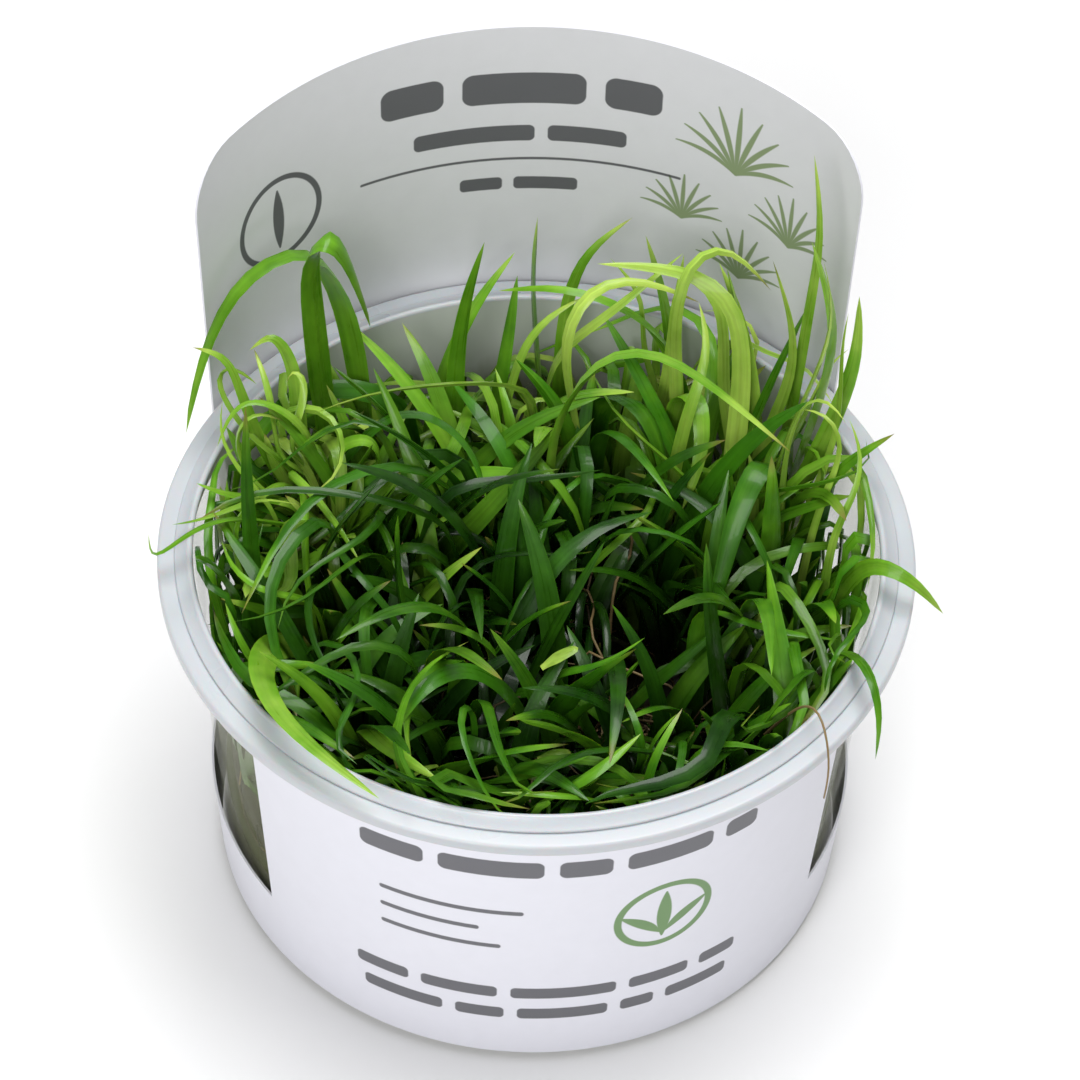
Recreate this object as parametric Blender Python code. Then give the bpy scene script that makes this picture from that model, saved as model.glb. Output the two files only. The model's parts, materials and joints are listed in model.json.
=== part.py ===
"""Tissue culture of a narrow-leaved aquarium plant in its clear round cup.

A thin card sleeve is bent round the cup: a low band, a front panel and a tall header at the back.
The cup holds a slab of gel, a mat of roots and a dense tuft of plantlets. Each plantlet is one
solid: a crown from whose sides the leaves are extruded.
Lengths are in millimetres and are turned into metres where an object is finished.
The origin is the centre of the cup's underside, +Z is up and the front panel faces -Y.
"""
import math
import random
from collections import namedtuple

import bmesh
import bpy
from mathutils import Matrix, Vector
from mathutils.bvhtree import BVHTree

MM = 0.001
SEED = 41
UP = Vector((0.0, 0.0, 1.0))

# Cup
CUP_SEGMENTS = 44
BASE_RADIUS = 42.5
BASE_CORNER = 2.8
WALL_TOP_RADIUS = 46.4
WALL = 0.7
RIM_HEIGHT = 55.0
RIM_RADIUS = 50.5
FLANGE = 0.8
LIP_DROP = 1.7
BEAD_RADIUS = 1.25
FILLET = 1.0

# Card sleeve, angles measured at the cup's axis from the front
CARD = 0.4
CARD_FOOT = 1.2
CARD_FOOT_RADIUS = 43.1
BAND_TOP = 13.8
PANEL_TOP = 53.2
PANEL_TOP_RADIUS = 46.95
PANEL_HALF_ANGLE = math.radians(55.4)
PANEL_CORNER = 5.0
HEADER_HALF_ANGLE = math.radians(56.6)
HEADER_TOP = 100.2
HEADER_EDGE_TOP = 97.0
HEADER_CORNER = 8.0
HEADER_RIM_RADIUS = 51.0
HEADER_TOP_RADIUS = 53.0
CARD_STEPS = 10
WINDOW_STEPS = 5
CORNER_SHARES = (0.0, 0.35, 1.1)

# Gel and roots
SOFT_GAP = 0.35
GEL_TOP = 13.0
MENISCUS = 0.5
MAT_TOP = 19.0
MAT_BUMP = 0.9
MAT_CLEARANCE = 1.2
SOFT_SEGMENTS = 24

# Plantlets
CROWN_RADIUS = 1.8
CROWN_DEPTH = 3.0
CROWN_BOTTOM = MAT_TOP + MAT_BUMP + 0.5
CROWN_ROOM = 3.1
FOOT_RISE = 1.2
CROWN_SPACING = 7.8
CROWN_REACH = 36.5
LEAF_GAP = 0.35
LEAF_KEEL = 0.3
LEAF_WIDTH = 2.6
RANDOM_REACH = 46.5
TRIES_PER_LEAF = 150
CLEARING_LOW = Vector((10.5, -9.5, 22.0))
CLEARING_HIGH = Vector((19.5, -0.5, 104.0))

# Plantlets with hand-placed leaves: crown place, number of leaves, crown height, and for each leaf its
# width, how many rings it has and the points it passes through
PLACED_PLANTLETS = (
    ((-24.0, 24.0), 4, 0.0, (
        (3.1, 8, ((-26.5, 26.5, 42), (-28.5, 28.5, 66), (-29.5, 28.5, 85), (-28, 27, 91), (-25, 28, 85),
                  (-22.5, 30, 74), (-21, 32, 65))),
        (2.6, 8, ((-22, 31, 48), (-24.5, 34, 68), (-28, 34.5, 78), (-33, 32.5, 81), (-39, 29, 78),
                  (-43.5, 24.5, 70), (-46.3, 19, 59))),
    )),
    ((-29.0, 14.0), 6, 23.0, (
        (2.4, 6, ((-35.5, 18, 55), (-38.5, 19.5, 65), (-41, 22, 72), (-45, 21.5, 73))),
        (2.4, 7, ((-31, 20, 56), (-31.5, 24, 65), (-34, 26, 71), (-37.5, 25.5, 68))),
        (2.2, 7, ((-27, 17, 56), (-22, 17, 60), (-20, 16, 55), (-22.5, 14.5, 48))),
        (2.0, 5, ((-34, 11, 54), (-40, 8.5, 57.5), (-45, 8.5, 60.5))),
        (1.3, 7, ((-34, 5, 56), (-41, 2.5, 60.5), (-47, -1.5, 61), (-51.2, -2.8, 57.5), (-51.3, -2.5, 63))),
        (2.0, 5, ((-30, 9, 50), (-34, 4, 46), (-38, 1, 40))),
    )),
    ((-8.0, 27.0), 4, 0.0, (
        (3.2, 6, ((-9.5, 29, 42), (-9.5, 32, 56), (-8, 34.5, 68), (-5.5, 36, 77))),
    )),
    ((-27.0, -3.0), 4, 0.0, (
        (3.0, 8, ((-31, -4, 40), (-35.5, -13, 52), (-37.5, -23, 59), (-36, -31, 61), (-30, -38.5, 60.5),
                  (-22.5, -44.5, 58.5))),
        (2.2, 6, ((-32, 0, 45), (-37, 0.5, 54), (-42, 1, 56.8))),
    )),
    ((34.0, -6.0), 4, 0.0, (
        (2.8, 8, ((38, -5, 42), (41, -6.5, 54), (43, -8.5, 60.5), (47, -11.5, 61.5), (51, -12.5, 58),
                  (53, -13, 54.5))),
        (1.8, 8, ((36.5, -13, 45), (39, -20, 56), (41, -26, 60.5), (42.5, -31.5, 59.5), (42.2, -34, 55),
                  (42, -34.5, 51))),
    )),
    ((30.0, 9.0), 5, 0.0, (
        (3.2, 5, ((31.5, 3.5, 40), (32, 4.5, 52), (31.5, 7.5, 64))),
        (3.2, 7, ((34, 12.5, 44), (33, 12, 57), (30, 9.5, 62), (27.5, 5.5, 58), (25.5, 1, 50), (22.5, -5, 41))),
        (2.4, 6, ((36.5, 10, 44), (39.5, 9.5, 56), (43.5, 9, 62.5), (48, 9, 66))),
    )),
    ((31.0, 22.0), 5, 0.0, (
        (2.0, 7, ((35.5, 24.5, 45), (36.5, 23, 62), (37.5, 23, 80), (38.5, 25.5, 92), (37, 29, 98.5))),
        (2.0, 6, ((37, 19, 50), (40.5, 19.5, 70), (39.5, 18.5, 82), (36.5, 21.5, 90))),
        (2.0, 6, ((30, 21.5, 48), (29.5, 25, 62), (29, 29, 70), (27, 32, 75))),
        (2.2, 6, ((38, 16.5, 50), (41.5, 17.5, 62), (44.5, 21, 70), (44, 24, 77))),
    )),
    ((22.0, 29.0), 5, 0.0, (
        (2.2, 7, ((23, 30.5, 46), (20, 31, 60), (13, 32.5, 68), (4, 34.5, 70), (-3.5, 37, 66.5))),
        (2.2, 5, ((21, 33, 46), (20, 36, 62), (16.5, 38.5, 75))),
        (2.6, 7, ((20.5, 26.5, 48), (21, 24.5, 61), (23.5, 19.5, 62), (23.5, 15, 56), (20.5, 11.5, 49))),
    )),
    ((9.0, 25.0), 4, 0.0, (
        (3.0, 7, ((9.5, 27.5, 42), (10, 27.5, 55), (14.5, 24, 59), (18, 19, 55), (18.5, 14, 47))),
        (2.4, 6, ((7.5, 23, 44), (4.5, 25, 56), (-1.5, 28.5, 62))),
    )),
    ((5.0, 33.5), 4, 0.0, (
        (2.0, 6, ((5.5, 36, 46), (6, 39, 62), (9.5, 41.5, 72), (15, 42, 75))),
        (2.0, 5, ((3, 36, 46), (1.5, 39.5, 64), (2, 41.5, 76))),
    )),
    ((-17.0, 6.0), 4, 0.0, (
        (3.0, 6, ((-15.5, 7.5, 40), (-8, 8.5, 50.5), (-2, 12, 56.5), (4.5, 17.5, 61))),
    )),
    ((-14.0, -7.0), 4, 0.0, (
        (3.0, 5, ((-16.5, -6.5, 42), (-18.5, -5, 53), (-18.5, 0.5, 62))),
    )),
    ((-1.0, 4.0), 4, 0.0, (
        (2.8, 5, ((-1, 2.5, 38), (-1.2, 3, 48), (-3.5, 8, 59))),
    )),
    ((2.0, -16.0), 4, 0.0, (
        (2.8, 6, ((1.5, -19, 42), (5, -22.5, 54), (11.5, -22.5, 60.5))),
        (2.6, 6, ((-2, -18.5, 42), (-9.5, -19.5, 55), (-17.5, -25.5, 57), (-21.5, -31, 51))),
    )),
)

# Leaf shades used in turn by the plantlets
LEAF_GREENS = ((0.10, 0.27, 0.02), (0.14, 0.36, 0.03), (0.19, 0.42, 0.05), (0.08, 0.22, 0.02))


# One column of the card: its angle from the front, its angle from the middle of what it carries, and whether
# that is the front panel, the header or a window
Column = namedtuple("Column", "angle offset carries")


def arc(centre_r, centre_z, radius, start, end, count):
    """Points of a round stretch of a turned profile, angles in degrees from +R towards +Z."""
    points = []
    for i in range(count):
        angle = math.radians(start + (end - start) * i / (count - 1))
        points.append((centre_r + radius * math.cos(angle), centre_z + radius * math.sin(angle)))
    return points


def wall_radius(z):
    """Outer radius of the cup's wall at a height."""
    return BASE_RADIUS + (WALL_TOP_RADIUS - BASE_RADIUS) * z / RIM_HEIGHT


def inner_radius(z):
    """Inner radius of the cup's wall at a height."""
    return wall_radius(z) - WALL


def polar(radius, angle, z):
    """Point at an angle from the front (-Y), turning towards +X."""
    return Vector((radius * math.sin(angle), -radius * math.cos(angle), z))


def make_material(name, colour, roughness, alpha=1.0, transmission=0.0):
    """Principled material with the few values that differ between the parts."""
    material = bpy.data.materials.new(name)
    material.use_nodes = True
    shader = material.node_tree.nodes["Principled BSDF"]
    shader.inputs["Base Color"].default_value = (*colour, 1.0)
    shader.inputs["Roughness"].default_value = roughness
    shader.inputs["Alpha"].default_value = alpha
    shader.inputs["Transmission Weight"].default_value = transmission
    return material


def finish(name, bm, material, parent, place=Vector((0.0, 0.0, 0.0)), sharp_angle=40.0):
    """Turn a bmesh in millimetres into a named object in metres at its place."""
    bmesh.ops.recalc_face_normals(bm, faces=bm.faces[:])
    bmesh.ops.translate(bm, verts=bm.verts[:], vec=-place)
    bmesh.ops.scale(bm, verts=bm.verts[:], vec=Vector((MM, MM, MM)))
    mesh = bpy.data.meshes.new(name)
    bm.to_mesh(mesh)
    bm.free()
    mesh.materials.append(material)
    mesh.shade_smooth()
    mesh.set_sharp_from_angle(angle=math.radians(sharp_angle))
    obj = bpy.data.objects.new(name, mesh)
    bpy.context.collection.objects.link(obj)
    obj.location = place * MM
    obj.parent = parent
    return obj


def spin_profile(points, segments):
    """Bmesh of a closed solid turned from an open profile whose two ends lie on the axis."""
    bm = bmesh.new()
    verts = [bm.verts.new((r, 0.0, z)) for r, z in points]
    edges = [bm.edges.new(pair) for pair in zip(verts, verts[1:])]
    bmesh.ops.spin(bm, geom=verts + edges, cent=(0.0, 0.0, 0.0), axis=(0.0, 0.0, 1.0),
                   angle=math.tau, steps=segments, use_merge=True)
    bmesh.ops.remove_doubles(bm, verts=bm.verts[:], dist=0.001)
    return bm


def cup_profile():
    """Outer side from the underside's centre up to the lip, over the flange and bead, down the inside."""
    flange_low = RIM_HEIGHT - FLANGE
    bead_centre = WALL_TOP_RADIUS - WALL + BEAD_RADIUS
    corner_centre = BASE_RADIUS - BASE_CORNER
    points = [(0.0, 0.0)]
    points += arc(corner_centre, BASE_CORNER, BASE_CORNER, -90, -5, 3)
    points += [(wall_radius(flange_low - FILLET), flange_low - FILLET), (WALL_TOP_RADIUS + FILLET, flange_low)]
    points += [(RIM_RADIUS - FLANGE, flange_low), (RIM_RADIUS - FLANGE, RIM_HEIGHT - LIP_DROP)]
    points += [(RIM_RADIUS, RIM_HEIGHT - LIP_DROP), (RIM_RADIUS, RIM_HEIGHT)]
    points += arc(bead_centre, RIM_HEIGHT, BEAD_RADIUS, 0, 180, 4)
    points += arc(corner_centre, BASE_CORNER, BASE_CORNER - WALL, -5, -90, 3)
    points += [(0.0, WALL)]
    return points


def make_cup(parent):
    """Clear tub, one moulding."""
    plastic = make_material("clear_plastic", (0.86, 0.90, 0.92), 0.12, alpha=0.35, transmission=0.9)
    return finish("cup", spin_profile(cup_profile(), CUP_SEGMENTS), plastic, parent)


def card_radius(angle, z):
    """Inner radius of the card: close to the wall in front, outside the flange at the back."""
    flange_low = RIM_HEIGHT - LIP_DROP
    slope = (PANEL_TOP_RADIUS - CARD_FOOT_RADIUS) / (PANEL_TOP - CARD_FOOT)
    if math.cos(angle) > 0.0 or z <= BAND_TOP:
        return CARD_FOOT_RADIUS + slope * (z - CARD_FOOT)
    if z < flange_low:
        band = CARD_FOOT_RADIUS + slope * (BAND_TOP - CARD_FOOT)
        return band + (HEADER_RIM_RADIUS - band) * (z - BAND_TOP) / (flange_low - BAND_TOP)
    share = (z - flange_low) / (HEADER_TOP - flange_low)
    return HEADER_RIM_RADIUS + (HEADER_TOP_RADIUS - HEADER_RIM_RADIUS) * share


def rounded_top(offset, half_angle, radius, centre_top, edge_top, corner):
    """Height of a panel's top edge at an angle from its middle: a gentle arch with round corners."""
    arch = centre_top - (centre_top - edge_top) * (offset / half_angle) ** 2
    from_edge = (half_angle - abs(offset)) * radius
    if from_edge >= corner:
        return arch
    return arch - corner + math.sqrt(max(0.0, corner ** 2 - (corner - from_edge) ** 2))


def card_columns():
    """Columns of the card, once round from the front panel's left edge, closer together at round corners."""
    columns = []
    for carries, middle, half, radius, corner, window_end in (
            ("panel", 0.0, PANEL_HALF_ANGLE, PANEL_TOP_RADIUS, PANEL_CORNER, math.pi - HEADER_HALF_ANGLE),
            ("header", math.pi, HEADER_HALF_ANGLE, HEADER_TOP_RADIUS, HEADER_CORNER, math.tau - PANEL_HALF_ANGLE)):
        at_corner = [half - share * corner / radius for share in CORNER_SHARES]
        even = [at_corner[-1] * (2.0 * i / CARD_STEPS - 1.0) for i in range(1, CARD_STEPS)]
        offsets = [-offset for offset in at_corner] + even + at_corner[::-1]
        columns += [Column(middle + offset, offset, carries) for offset in offsets]
        window_start = middle + half
        columns += [Column(window_start + (window_end - window_start) * i / WINDOW_STEPS, 0.0, "window")
                    for i in range(1, WINDOW_STEPS)]
    return columns


def panel_rows(column):
    """Heights of the rows above the band in one column of a panel."""
    if column.carries == "panel":
        top = rounded_top(column.offset, PANEL_HALF_ANGLE, PANEL_TOP_RADIUS, PANEL_TOP, PANEL_TOP, PANEL_CORNER)
        return [(BAND_TOP + top) / 2, top]
    top = rounded_top(column.offset, HEADER_HALF_ANGLE, HEADER_TOP_RADIUS, HEADER_TOP, HEADER_EDGE_TOP,
                      HEADER_CORNER)
    rim_low = RIM_HEIGHT - LIP_DROP
    return [(BAND_TOP + rim_low) / 2, rim_low, (rim_low + top) / 2, top]


def raise_edges(bm, edges, column_of, height_of):
    """Extrude edges of the card up to the next row, and give the column of each new point."""
    raised = bmesh.ops.extrude_edge_only(bm, edges=edges)["geom"]
    column_above = {}
    for vert in raised:
        if isinstance(vert, bmesh.types.BMVert):
            below = min(column_of, key=lambda old: (old.co - vert.co).length)
            column = column_of[below]
            height = height_of(column)
            column_above[vert] = column
            vert.co = polar(card_radius(column.angle, height), column.angle, height)
    return column_above


def make_sleeve(parent):
    """Card sleeve: a ring extruded up to the band, then each panel extruded from its part of the band."""
    card = make_material("white_card", (0.86, 0.86, 0.90), 0.55)
    columns = card_columns()
    bm = bmesh.new()
    foot = [bm.verts.new(polar(CARD_FOOT_RADIUS, column.angle, CARD_FOOT)) for column in columns]
    ring = [bm.edges.new(pair) for pair in zip(foot, foot[1:] + foot[:1])]
    band = raise_edges(bm, ring, dict(zip(foot, columns)), lambda column: BAND_TOP)
    for carries in ("panel", "header"):
        row_below = {vert: column for vert, column in band.items() if column.carries == carries}
        for row in range(len(panel_rows(next(iter(row_below.values()))))):
            edges = [edge for edge in bm.edges if all(vert in row_below for vert in edge.verts)]
            row_below = raise_edges(bm, edges, row_below, lambda column: panel_rows(column)[row])
    bmesh.ops.recalc_face_normals(bm, faces=bm.faces[:])
    first = bm.faces[:][0]
    if first.normal.dot(first.calc_center_median()) < 0.0:
        bmesh.ops.reverse_faces(bm, faces=bm.faces[:])
    bmesh.ops.solidify(bm, geom=bm.faces[:], thickness=-CARD)
    return finish("card_sleeve", bm, card, parent)


def make_gel(parent):
    """Slab of clear gel resting in the bottom of the cup."""
    gel = make_material("nutrient_gel", (0.16, 0.20, 0.05), 0.2, alpha=0.8)
    low = WALL + SOFT_GAP
    points = [(0.0, low), (BASE_RADIUS - BASE_CORNER - WALL, low)]
    points += [(inner_radius(low + BASE_CORNER) - SOFT_GAP, low + BASE_CORNER)]
    points += [(inner_radius(GEL_TOP) - SOFT_GAP, GEL_TOP), (inner_radius(GEL_TOP) - 3.0, GEL_TOP - MENISCUS)]
    points += [(0.0, GEL_TOP - MENISCUS)]
    return finish("nutrient_gel", spin_profile(points, SOFT_SEGMENTS), gel, parent)


def make_root_mat(parent):
    """Tangle of roots on the gel, a lumpy round mat."""
    roots = make_material("root_tangle", (0.22, 0.15, 0.06), 0.7)
    rng = random.Random(SEED)
    low = GEL_TOP + SOFT_GAP
    edge = inner_radius(low) - MAT_CLEARANCE
    points = [(0.0, low), (edge - 1.0, low), (edge, (low + MAT_TOP) / 2)]
    points += [(edge * share, MAT_TOP) for share in (0.93, 0.7, 0.45, 0.2)] + [(0.0, MAT_TOP)]
    bm = spin_profile(points, SOFT_SEGMENTS)
    for vert in bm.verts:
        if vert.co.z > MAT_TOP - MAT_BUMP:
            vert.co.z += rng.uniform(-MAT_BUMP, MAT_BUMP)
    return finish("root_mat", bm, roots, parent)


def catmull_rom(p0, p1, p2, p3, t):
    """Point on the smooth curve between p1 and p2."""
    return 0.5 * (2.0 * p1 + (p2 - p0) * t + (2.0 * p0 - 5.0 * p1 + 4.0 * p2 - p3) * t * t
                  + (3.0 * p1 - p0 - 3.0 * p2 + p3) * t ** 3)


def stations(points, count):
    """Evenly spaced stations along a smooth curve through the points, ends included."""
    padded = [2.0 * points[0] - points[1], *points, 2.0 * points[-1] - points[-2]]
    fine = []
    steps = 12
    for i in range(len(points) - 1):
        fine += [catmull_rom(*padded[i:i + 4], k / steps) for k in range(steps)]
    fine.append(points[-1])
    reach = [0.0]
    for a, b in zip(fine, fine[1:]):
        reach.append(reach[-1] + (b - a).length)
    result = []
    j = 0
    for i in range(count):
        target = reach[-1] * i / (count - 1)
        while j < len(fine) - 2 and reach[j + 1] < target:
            j += 1
        share = (target - reach[j]) / max(reach[j + 1] - reach[j], 1e-9)
        result.append(fine[j].lerp(fine[j + 1], share))
    return result


def blade_width(share):
    """Width of the blade as a share of its widest, from foot to tip."""
    return min(1.0, 0.5 + 1.7 * share) * (1.0 - share ** 2.6) ** 0.8


def leaf_rings(line, heading, width, grow=0.0):
    """Rings of three corners (one edge, the other edge, the keel) along a leaf, all but the tip."""
    across = UP.cross(heading).normalized()
    rings = []
    last = len(line) - 1
    for i in range(last):
        along = (line[min(i + 1, last)] - line[max(i - 1, 0)]).normalized()
        across = (across - along * across.dot(along)).normalized()
        top = along.cross(across)
        half = 0.5 * width * blade_width(i / last)
        keel = 2.0 * half * LEAF_KEEL
        rings.append((line[i] - across * (half + grow) + top * grow,
                      line[i] + across * (half + grow) + top * grow,
                      line[i] - top * (keel + grow)))
    return rings


def leaf_tree(line, heading, width, grow, skip=0):
    """Search tree of a leaf's skin, fattened by grow, without its first skipped rings."""
    rings = leaf_rings(line, heading, width, grow)[skip:]
    tip = line[-1] + (line[-1] - line[-2]).normalized() * grow
    points = [corner for ring in rings for corner in ring] + [tip]
    faces = [(0, 1, 2)]
    for i in range(len(rings) - 1):
        a, b = 3 * i, 3 * i + 3
        faces += [(a + k, a + (k + 1) % 3, b + (k + 1) % 3) for k in range(3)]
        faces += [(a + k, b + (k + 1) % 3, b + k) for k in range(3)]
    end = len(points) - 1
    faces += [(end - 3 + k, end - 3 + (k + 1) % 3, end) for k in range(3)]
    return BVHTree.FromPolygons(points, faces)


class Plantlet:
    """One rosette: a crown with a number of places at its side for leaves."""

    def __init__(self, place, leaf_count, height, turn):
        self.place = place
        self.leaf_count = leaf_count
        self.height = height
        self.turn = turn
        self.leaves = {}

    def top(self):
        """Centre of the crown's upper face."""
        return self.place + UP * (self.height + CROWN_DEPTH)

    def heading(self, slot):
        """Level direction in which a slot's leaf leaves the crown."""
        angle = self.turn + math.tau * slot / self.leaf_count
        return Vector((math.cos(angle), math.sin(angle), 0.0))

    def nearest_free_slot(self, direction):
        """Free slot whose heading is closest to a direction."""
        free = [slot for slot in range(self.leaf_count) if slot not in self.leaves]
        return max(free, key=lambda slot: self.heading(slot).dot(direction))

    def foot(self, slot):
        """First point of a leaf, just clear of its neighbours at the crown."""
        return self.top() + self.heading(slot) * (CROWN_RADIUS + LEAF_GAP) + UP * FOOT_RISE

    def body(self):
        """Search tree of the room that the crown and the feet of its leaves take."""
        bm = bmesh.new()
        depth = self.height + CROWN_DEPTH + CROWN_ROOM
        bmesh.ops.create_cone(bm, cap_ends=True, segments=8, radius1=CROWN_ROOM, radius2=CROWN_ROOM,
                              depth=depth, matrix=Matrix.Translation(self.place + UP * depth / 2))
        tree = BVHTree.FromBMesh(bm)
        bm.free()
        return tree


def inside_clearing(point, margin):
    """Whether a point stands in the open shaft between the plantlets."""
    return all(low - margin < value < high + margin
               for low, value, high in zip(CLEARING_LOW, point, CLEARING_HIGH))


def leaf_is_clear(line, heading, width, plantlet, slot, fixed, plantlets):
    """Whether a leaf keeps its gap to the cup, the card, the clearing and every other leaf and crown."""
    if any(inside_clearing(line[i].lerp(line[i + 1], k / 4), width / 2 + LEAF_GAP)
           for i in range(len(line) - 1) for k in range(5)):
        return False
    skin = leaf_tree(line, heading, width, LEAF_GAP)
    upper = leaf_tree(line, heading, width, LEAF_GAP, skip=1)
    if any(skin.overlap(tree) for tree in fixed):
        return False
    for other in plantlets:
        if other is plantlet:
            if any(upper.overlap(leaf["upper"]) for leaf in other.leaves.values()):
                return False
            continue
        if skin.overlap(other.room) or any(skin.overlap(leaf["skin"]) for leaf in other.leaves.values()):
            return False
    return True


def add_leaf(plantlet, slot, line, width):
    """Store a leaf with the search trees that later leaves are tested against."""
    heading = plantlet.heading(slot)
    plantlet.leaves[slot] = {
        "line": line, "width": width,
        "skin": leaf_tree(line, heading, width, 0.0),
        "upper": leaf_tree(line, heading, width, 0.0, skip=1)}


def random_line(rng, plantlet, slot):
    """Centre line of a leaf that rises from its crown and arches over to one side."""
    heading = plantlet.heading(slot)
    length = rng.uniform(30.0, 56.0)
    lean_start = math.radians(rng.uniform(4.0, 20.0))
    lean_end = math.radians(rng.uniform(35.0, 125.0))
    power = rng.uniform(1.4, 2.6)
    swing = math.radians(rng.uniform(-50.0, 50.0))
    points = [plantlet.foot(slot)]
    steps = 10
    for i in range(steps):
        share = (i + 0.5) / steps
        lean = lean_start + (lean_end - lean_start) * share ** power
        level = Matrix.Rotation(swing * share, 3, "Z") @ heading
        points.append(points[-1] + (level * math.sin(lean) + UP * math.cos(lean)) * (length / steps))
    return stations(points, 4 + round(length / 16.0)), rng.uniform(0.75, 1.15) * LEAF_WIDTH


def scatter_crowns(rng, plantlets):
    """Fill the free places of the root mat with crowns at random, kept apart from each other."""
    crowded = 0
    while crowded < 600:
        radius = CROWN_REACH * math.sqrt(rng.random())
        angle = rng.uniform(0.0, math.tau)
        place = Vector((radius * math.cos(angle), radius * math.sin(angle), CROWN_BOTTOM))
        level = Vector((place.x, place.y, CLEARING_LOW.z + 1.0))
        if inside_clearing(level, CROWN_ROOM + 0.5) or any(
                math.hypot(place.x - p.place.x, place.y - p.place.y) < CROWN_SPACING for p in plantlets):
            crowded += 1
            continue
        place.z += rng.uniform(0.0, 1.5)
        plantlets.append(Plantlet(place, rng.choice((5, 6)), 0.0, rng.uniform(0.0, math.tau)))


def plant_the_cup(fixed):
    """All plantlets with their leaves: the hand-placed leaves first, the random ones around them."""
    rng = random.Random(SEED)
    plantlets = []
    for (x, y), leaf_count, height, leaves in PLACED_PLANTLETS:
        first = Vector(leaves[0][2][0])
        turn = math.atan2(first.y - y, first.x - x)
        plantlets.append(Plantlet(Vector((x, y, CROWN_BOTTOM)), leaf_count, height, turn))
    placed_count = len(plantlets)
    scatter_crowns(rng, plantlets)
    for plantlet in plantlets:
        plantlet.room = plantlet.body()
    for plantlet, (_, _, _, leaves) in zip(plantlets[:placed_count], PLACED_PLANTLETS):
        for width, rings, points in leaves:
            towards = Vector(points[0]) - plantlet.place
            slot = plantlet.nearest_free_slot(Vector((towards.x, towards.y, 0.0)).normalized())
            line = stations([plantlet.foot(slot), *(Vector(p) for p in points)], rings + 1)
            if not leaf_is_clear(line, plantlet.heading(slot), width, plantlet, slot, fixed, plantlets):
                print("leaf meets a neighbour:", plantlet.place[:2], points[0])
            add_leaf(plantlet, slot, line, width)
    for plantlet in plantlets:
        for slot in range(plantlet.leaf_count):
            if slot in plantlet.leaves:
                continue
            for _ in range(TRIES_PER_LEAF):
                line, width = random_line(rng, plantlet, slot)
                if max(point.xy.length for point in line) > RANDOM_REACH:
                    continue
                if leaf_is_clear(line, plantlet.heading(slot), width, plantlet, slot, fixed, plantlets):
                    add_leaf(plantlet, slot, line, width)
                    break
    return [plantlet for plantlet in plantlets if plantlet.leaves]


def grow_leaf(bm, face, plantlet, slot):
    """Extrude one side face of the crown ring by ring along a leaf and close it at the tip."""
    heading = plantlet.heading(slot)
    leaf = plantlet.leaves[slot]
    across = UP.cross(heading)
    order = sorted(face.verts, key=lambda vert: vert.co.z)
    keel = order[0]
    sides = sorted(order[1:], key=lambda vert: vert.co.dot(across))
    corners = [sides[0].co.copy(), sides[1].co.copy(), keel.co.copy()]
    for ring in leaf_rings(leaf["line"], heading, leaf["width"]):
        face = bmesh.ops.extrude_discrete_faces(bm, faces=[face])["faces"][0]
        for vert in face.verts:
            index = min(range(3), key=lambda k: (corners[k] - vert.co).length)
            vert.co = ring[index]
        corners = list(ring)
    face = bmesh.ops.extrude_discrete_faces(bm, faces=[face])["faces"][0]
    bmesh.ops.pointmerge(bm, verts=face.verts[:], merge_co=leaf["line"][-1])


def make_plantlet(name, plantlet, material, parent):
    """Inverted cone for the crown, with a leaf extruded from each used side face."""
    bm = bmesh.new()
    depth = plantlet.height + CROWN_DEPTH
    rim = [plantlet.top() + Matrix.Rotation(math.pi / plantlet.leaf_count, 3, "Z") @ plantlet.heading(slot)
           * CROWN_RADIUS for slot in range(plantlet.leaf_count)]
    ring = [bm.verts.new(point) for point in rim]
    cap = bm.faces.new(ring)
    lowered = bmesh.ops.extrude_face_region(bm, geom=[cap])["geom"]
    low_verts = [item for item in lowered if isinstance(item, bmesh.types.BMVert)]
    bmesh.ops.translate(bm, verts=low_verts, vec=-UP * depth)
    bmesh.ops.pointmerge(bm, verts=low_verts, merge_co=plantlet.place)
    bmesh.ops.contextual_create(bm, geom=[edge for edge in bm.edges if edge.is_boundary])
    bmesh.ops.recalc_face_normals(bm, faces=bm.faces[:])
    for slot in plantlet.leaves:
        heading = plantlet.heading(slot)
        side_faces = [face for face in bm.faces if any((v.co - plantlet.place).length < 0.01 for v in face.verts)]
        face = max(side_faces, key=lambda f: (f.calc_center_median() - plantlet.place).normalized().dot(heading))
        grow_leaf(bm, face, plantlet, slot)
    return finish(name, bm, material, parent, place=plantlet.place, sharp_angle=70.0)


def clear_scene():
    """Remove every object that is in the scene at the start."""
    for obj in list(bpy.data.objects):
        bpy.data.objects.remove(obj, do_unlink=True)


def skin_of(obj):
    """Search tree of a finished object's surface, in millimetres."""
    points = [vert.co / MM + obj.location / MM for vert in obj.data.vertices]
    return BVHTree.FromPolygons(points, [polygon.vertices[:] for polygon in obj.data.polygons])


def main():
    """Build the cup, the card, the gel, the roots and the plantlets."""
    clear_scene()
    assembly = bpy.data.objects.new("tissue_culture_cup", None)
    bpy.context.collection.objects.link(assembly)
    fixed = [skin_of(make(assembly)) for make in (make_cup, make_sleeve, make_gel, make_root_mat)]
    greens = [make_material(f"leaf_green_{i + 1}", colour, 0.35) for i, colour in enumerate(LEAF_GREENS)]
    for number, plantlet in enumerate(plant_the_cup(fixed), start=1):
        make_plantlet(f"plantlet_{number:02d}", plantlet, greens[number % len(greens)], assembly)


main()
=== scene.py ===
"""Looks of a tissue culture cup: clear tub, printed card, gel, roots and a tuft of narrow leaves.

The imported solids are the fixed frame. Every piece here rides on them and stands in their place.
Lengths are in metres, +Z is up, and the front panel of the card faces -Y.
"""

import json
import math
import random
from collections import defaultdict, namedtuple

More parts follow.
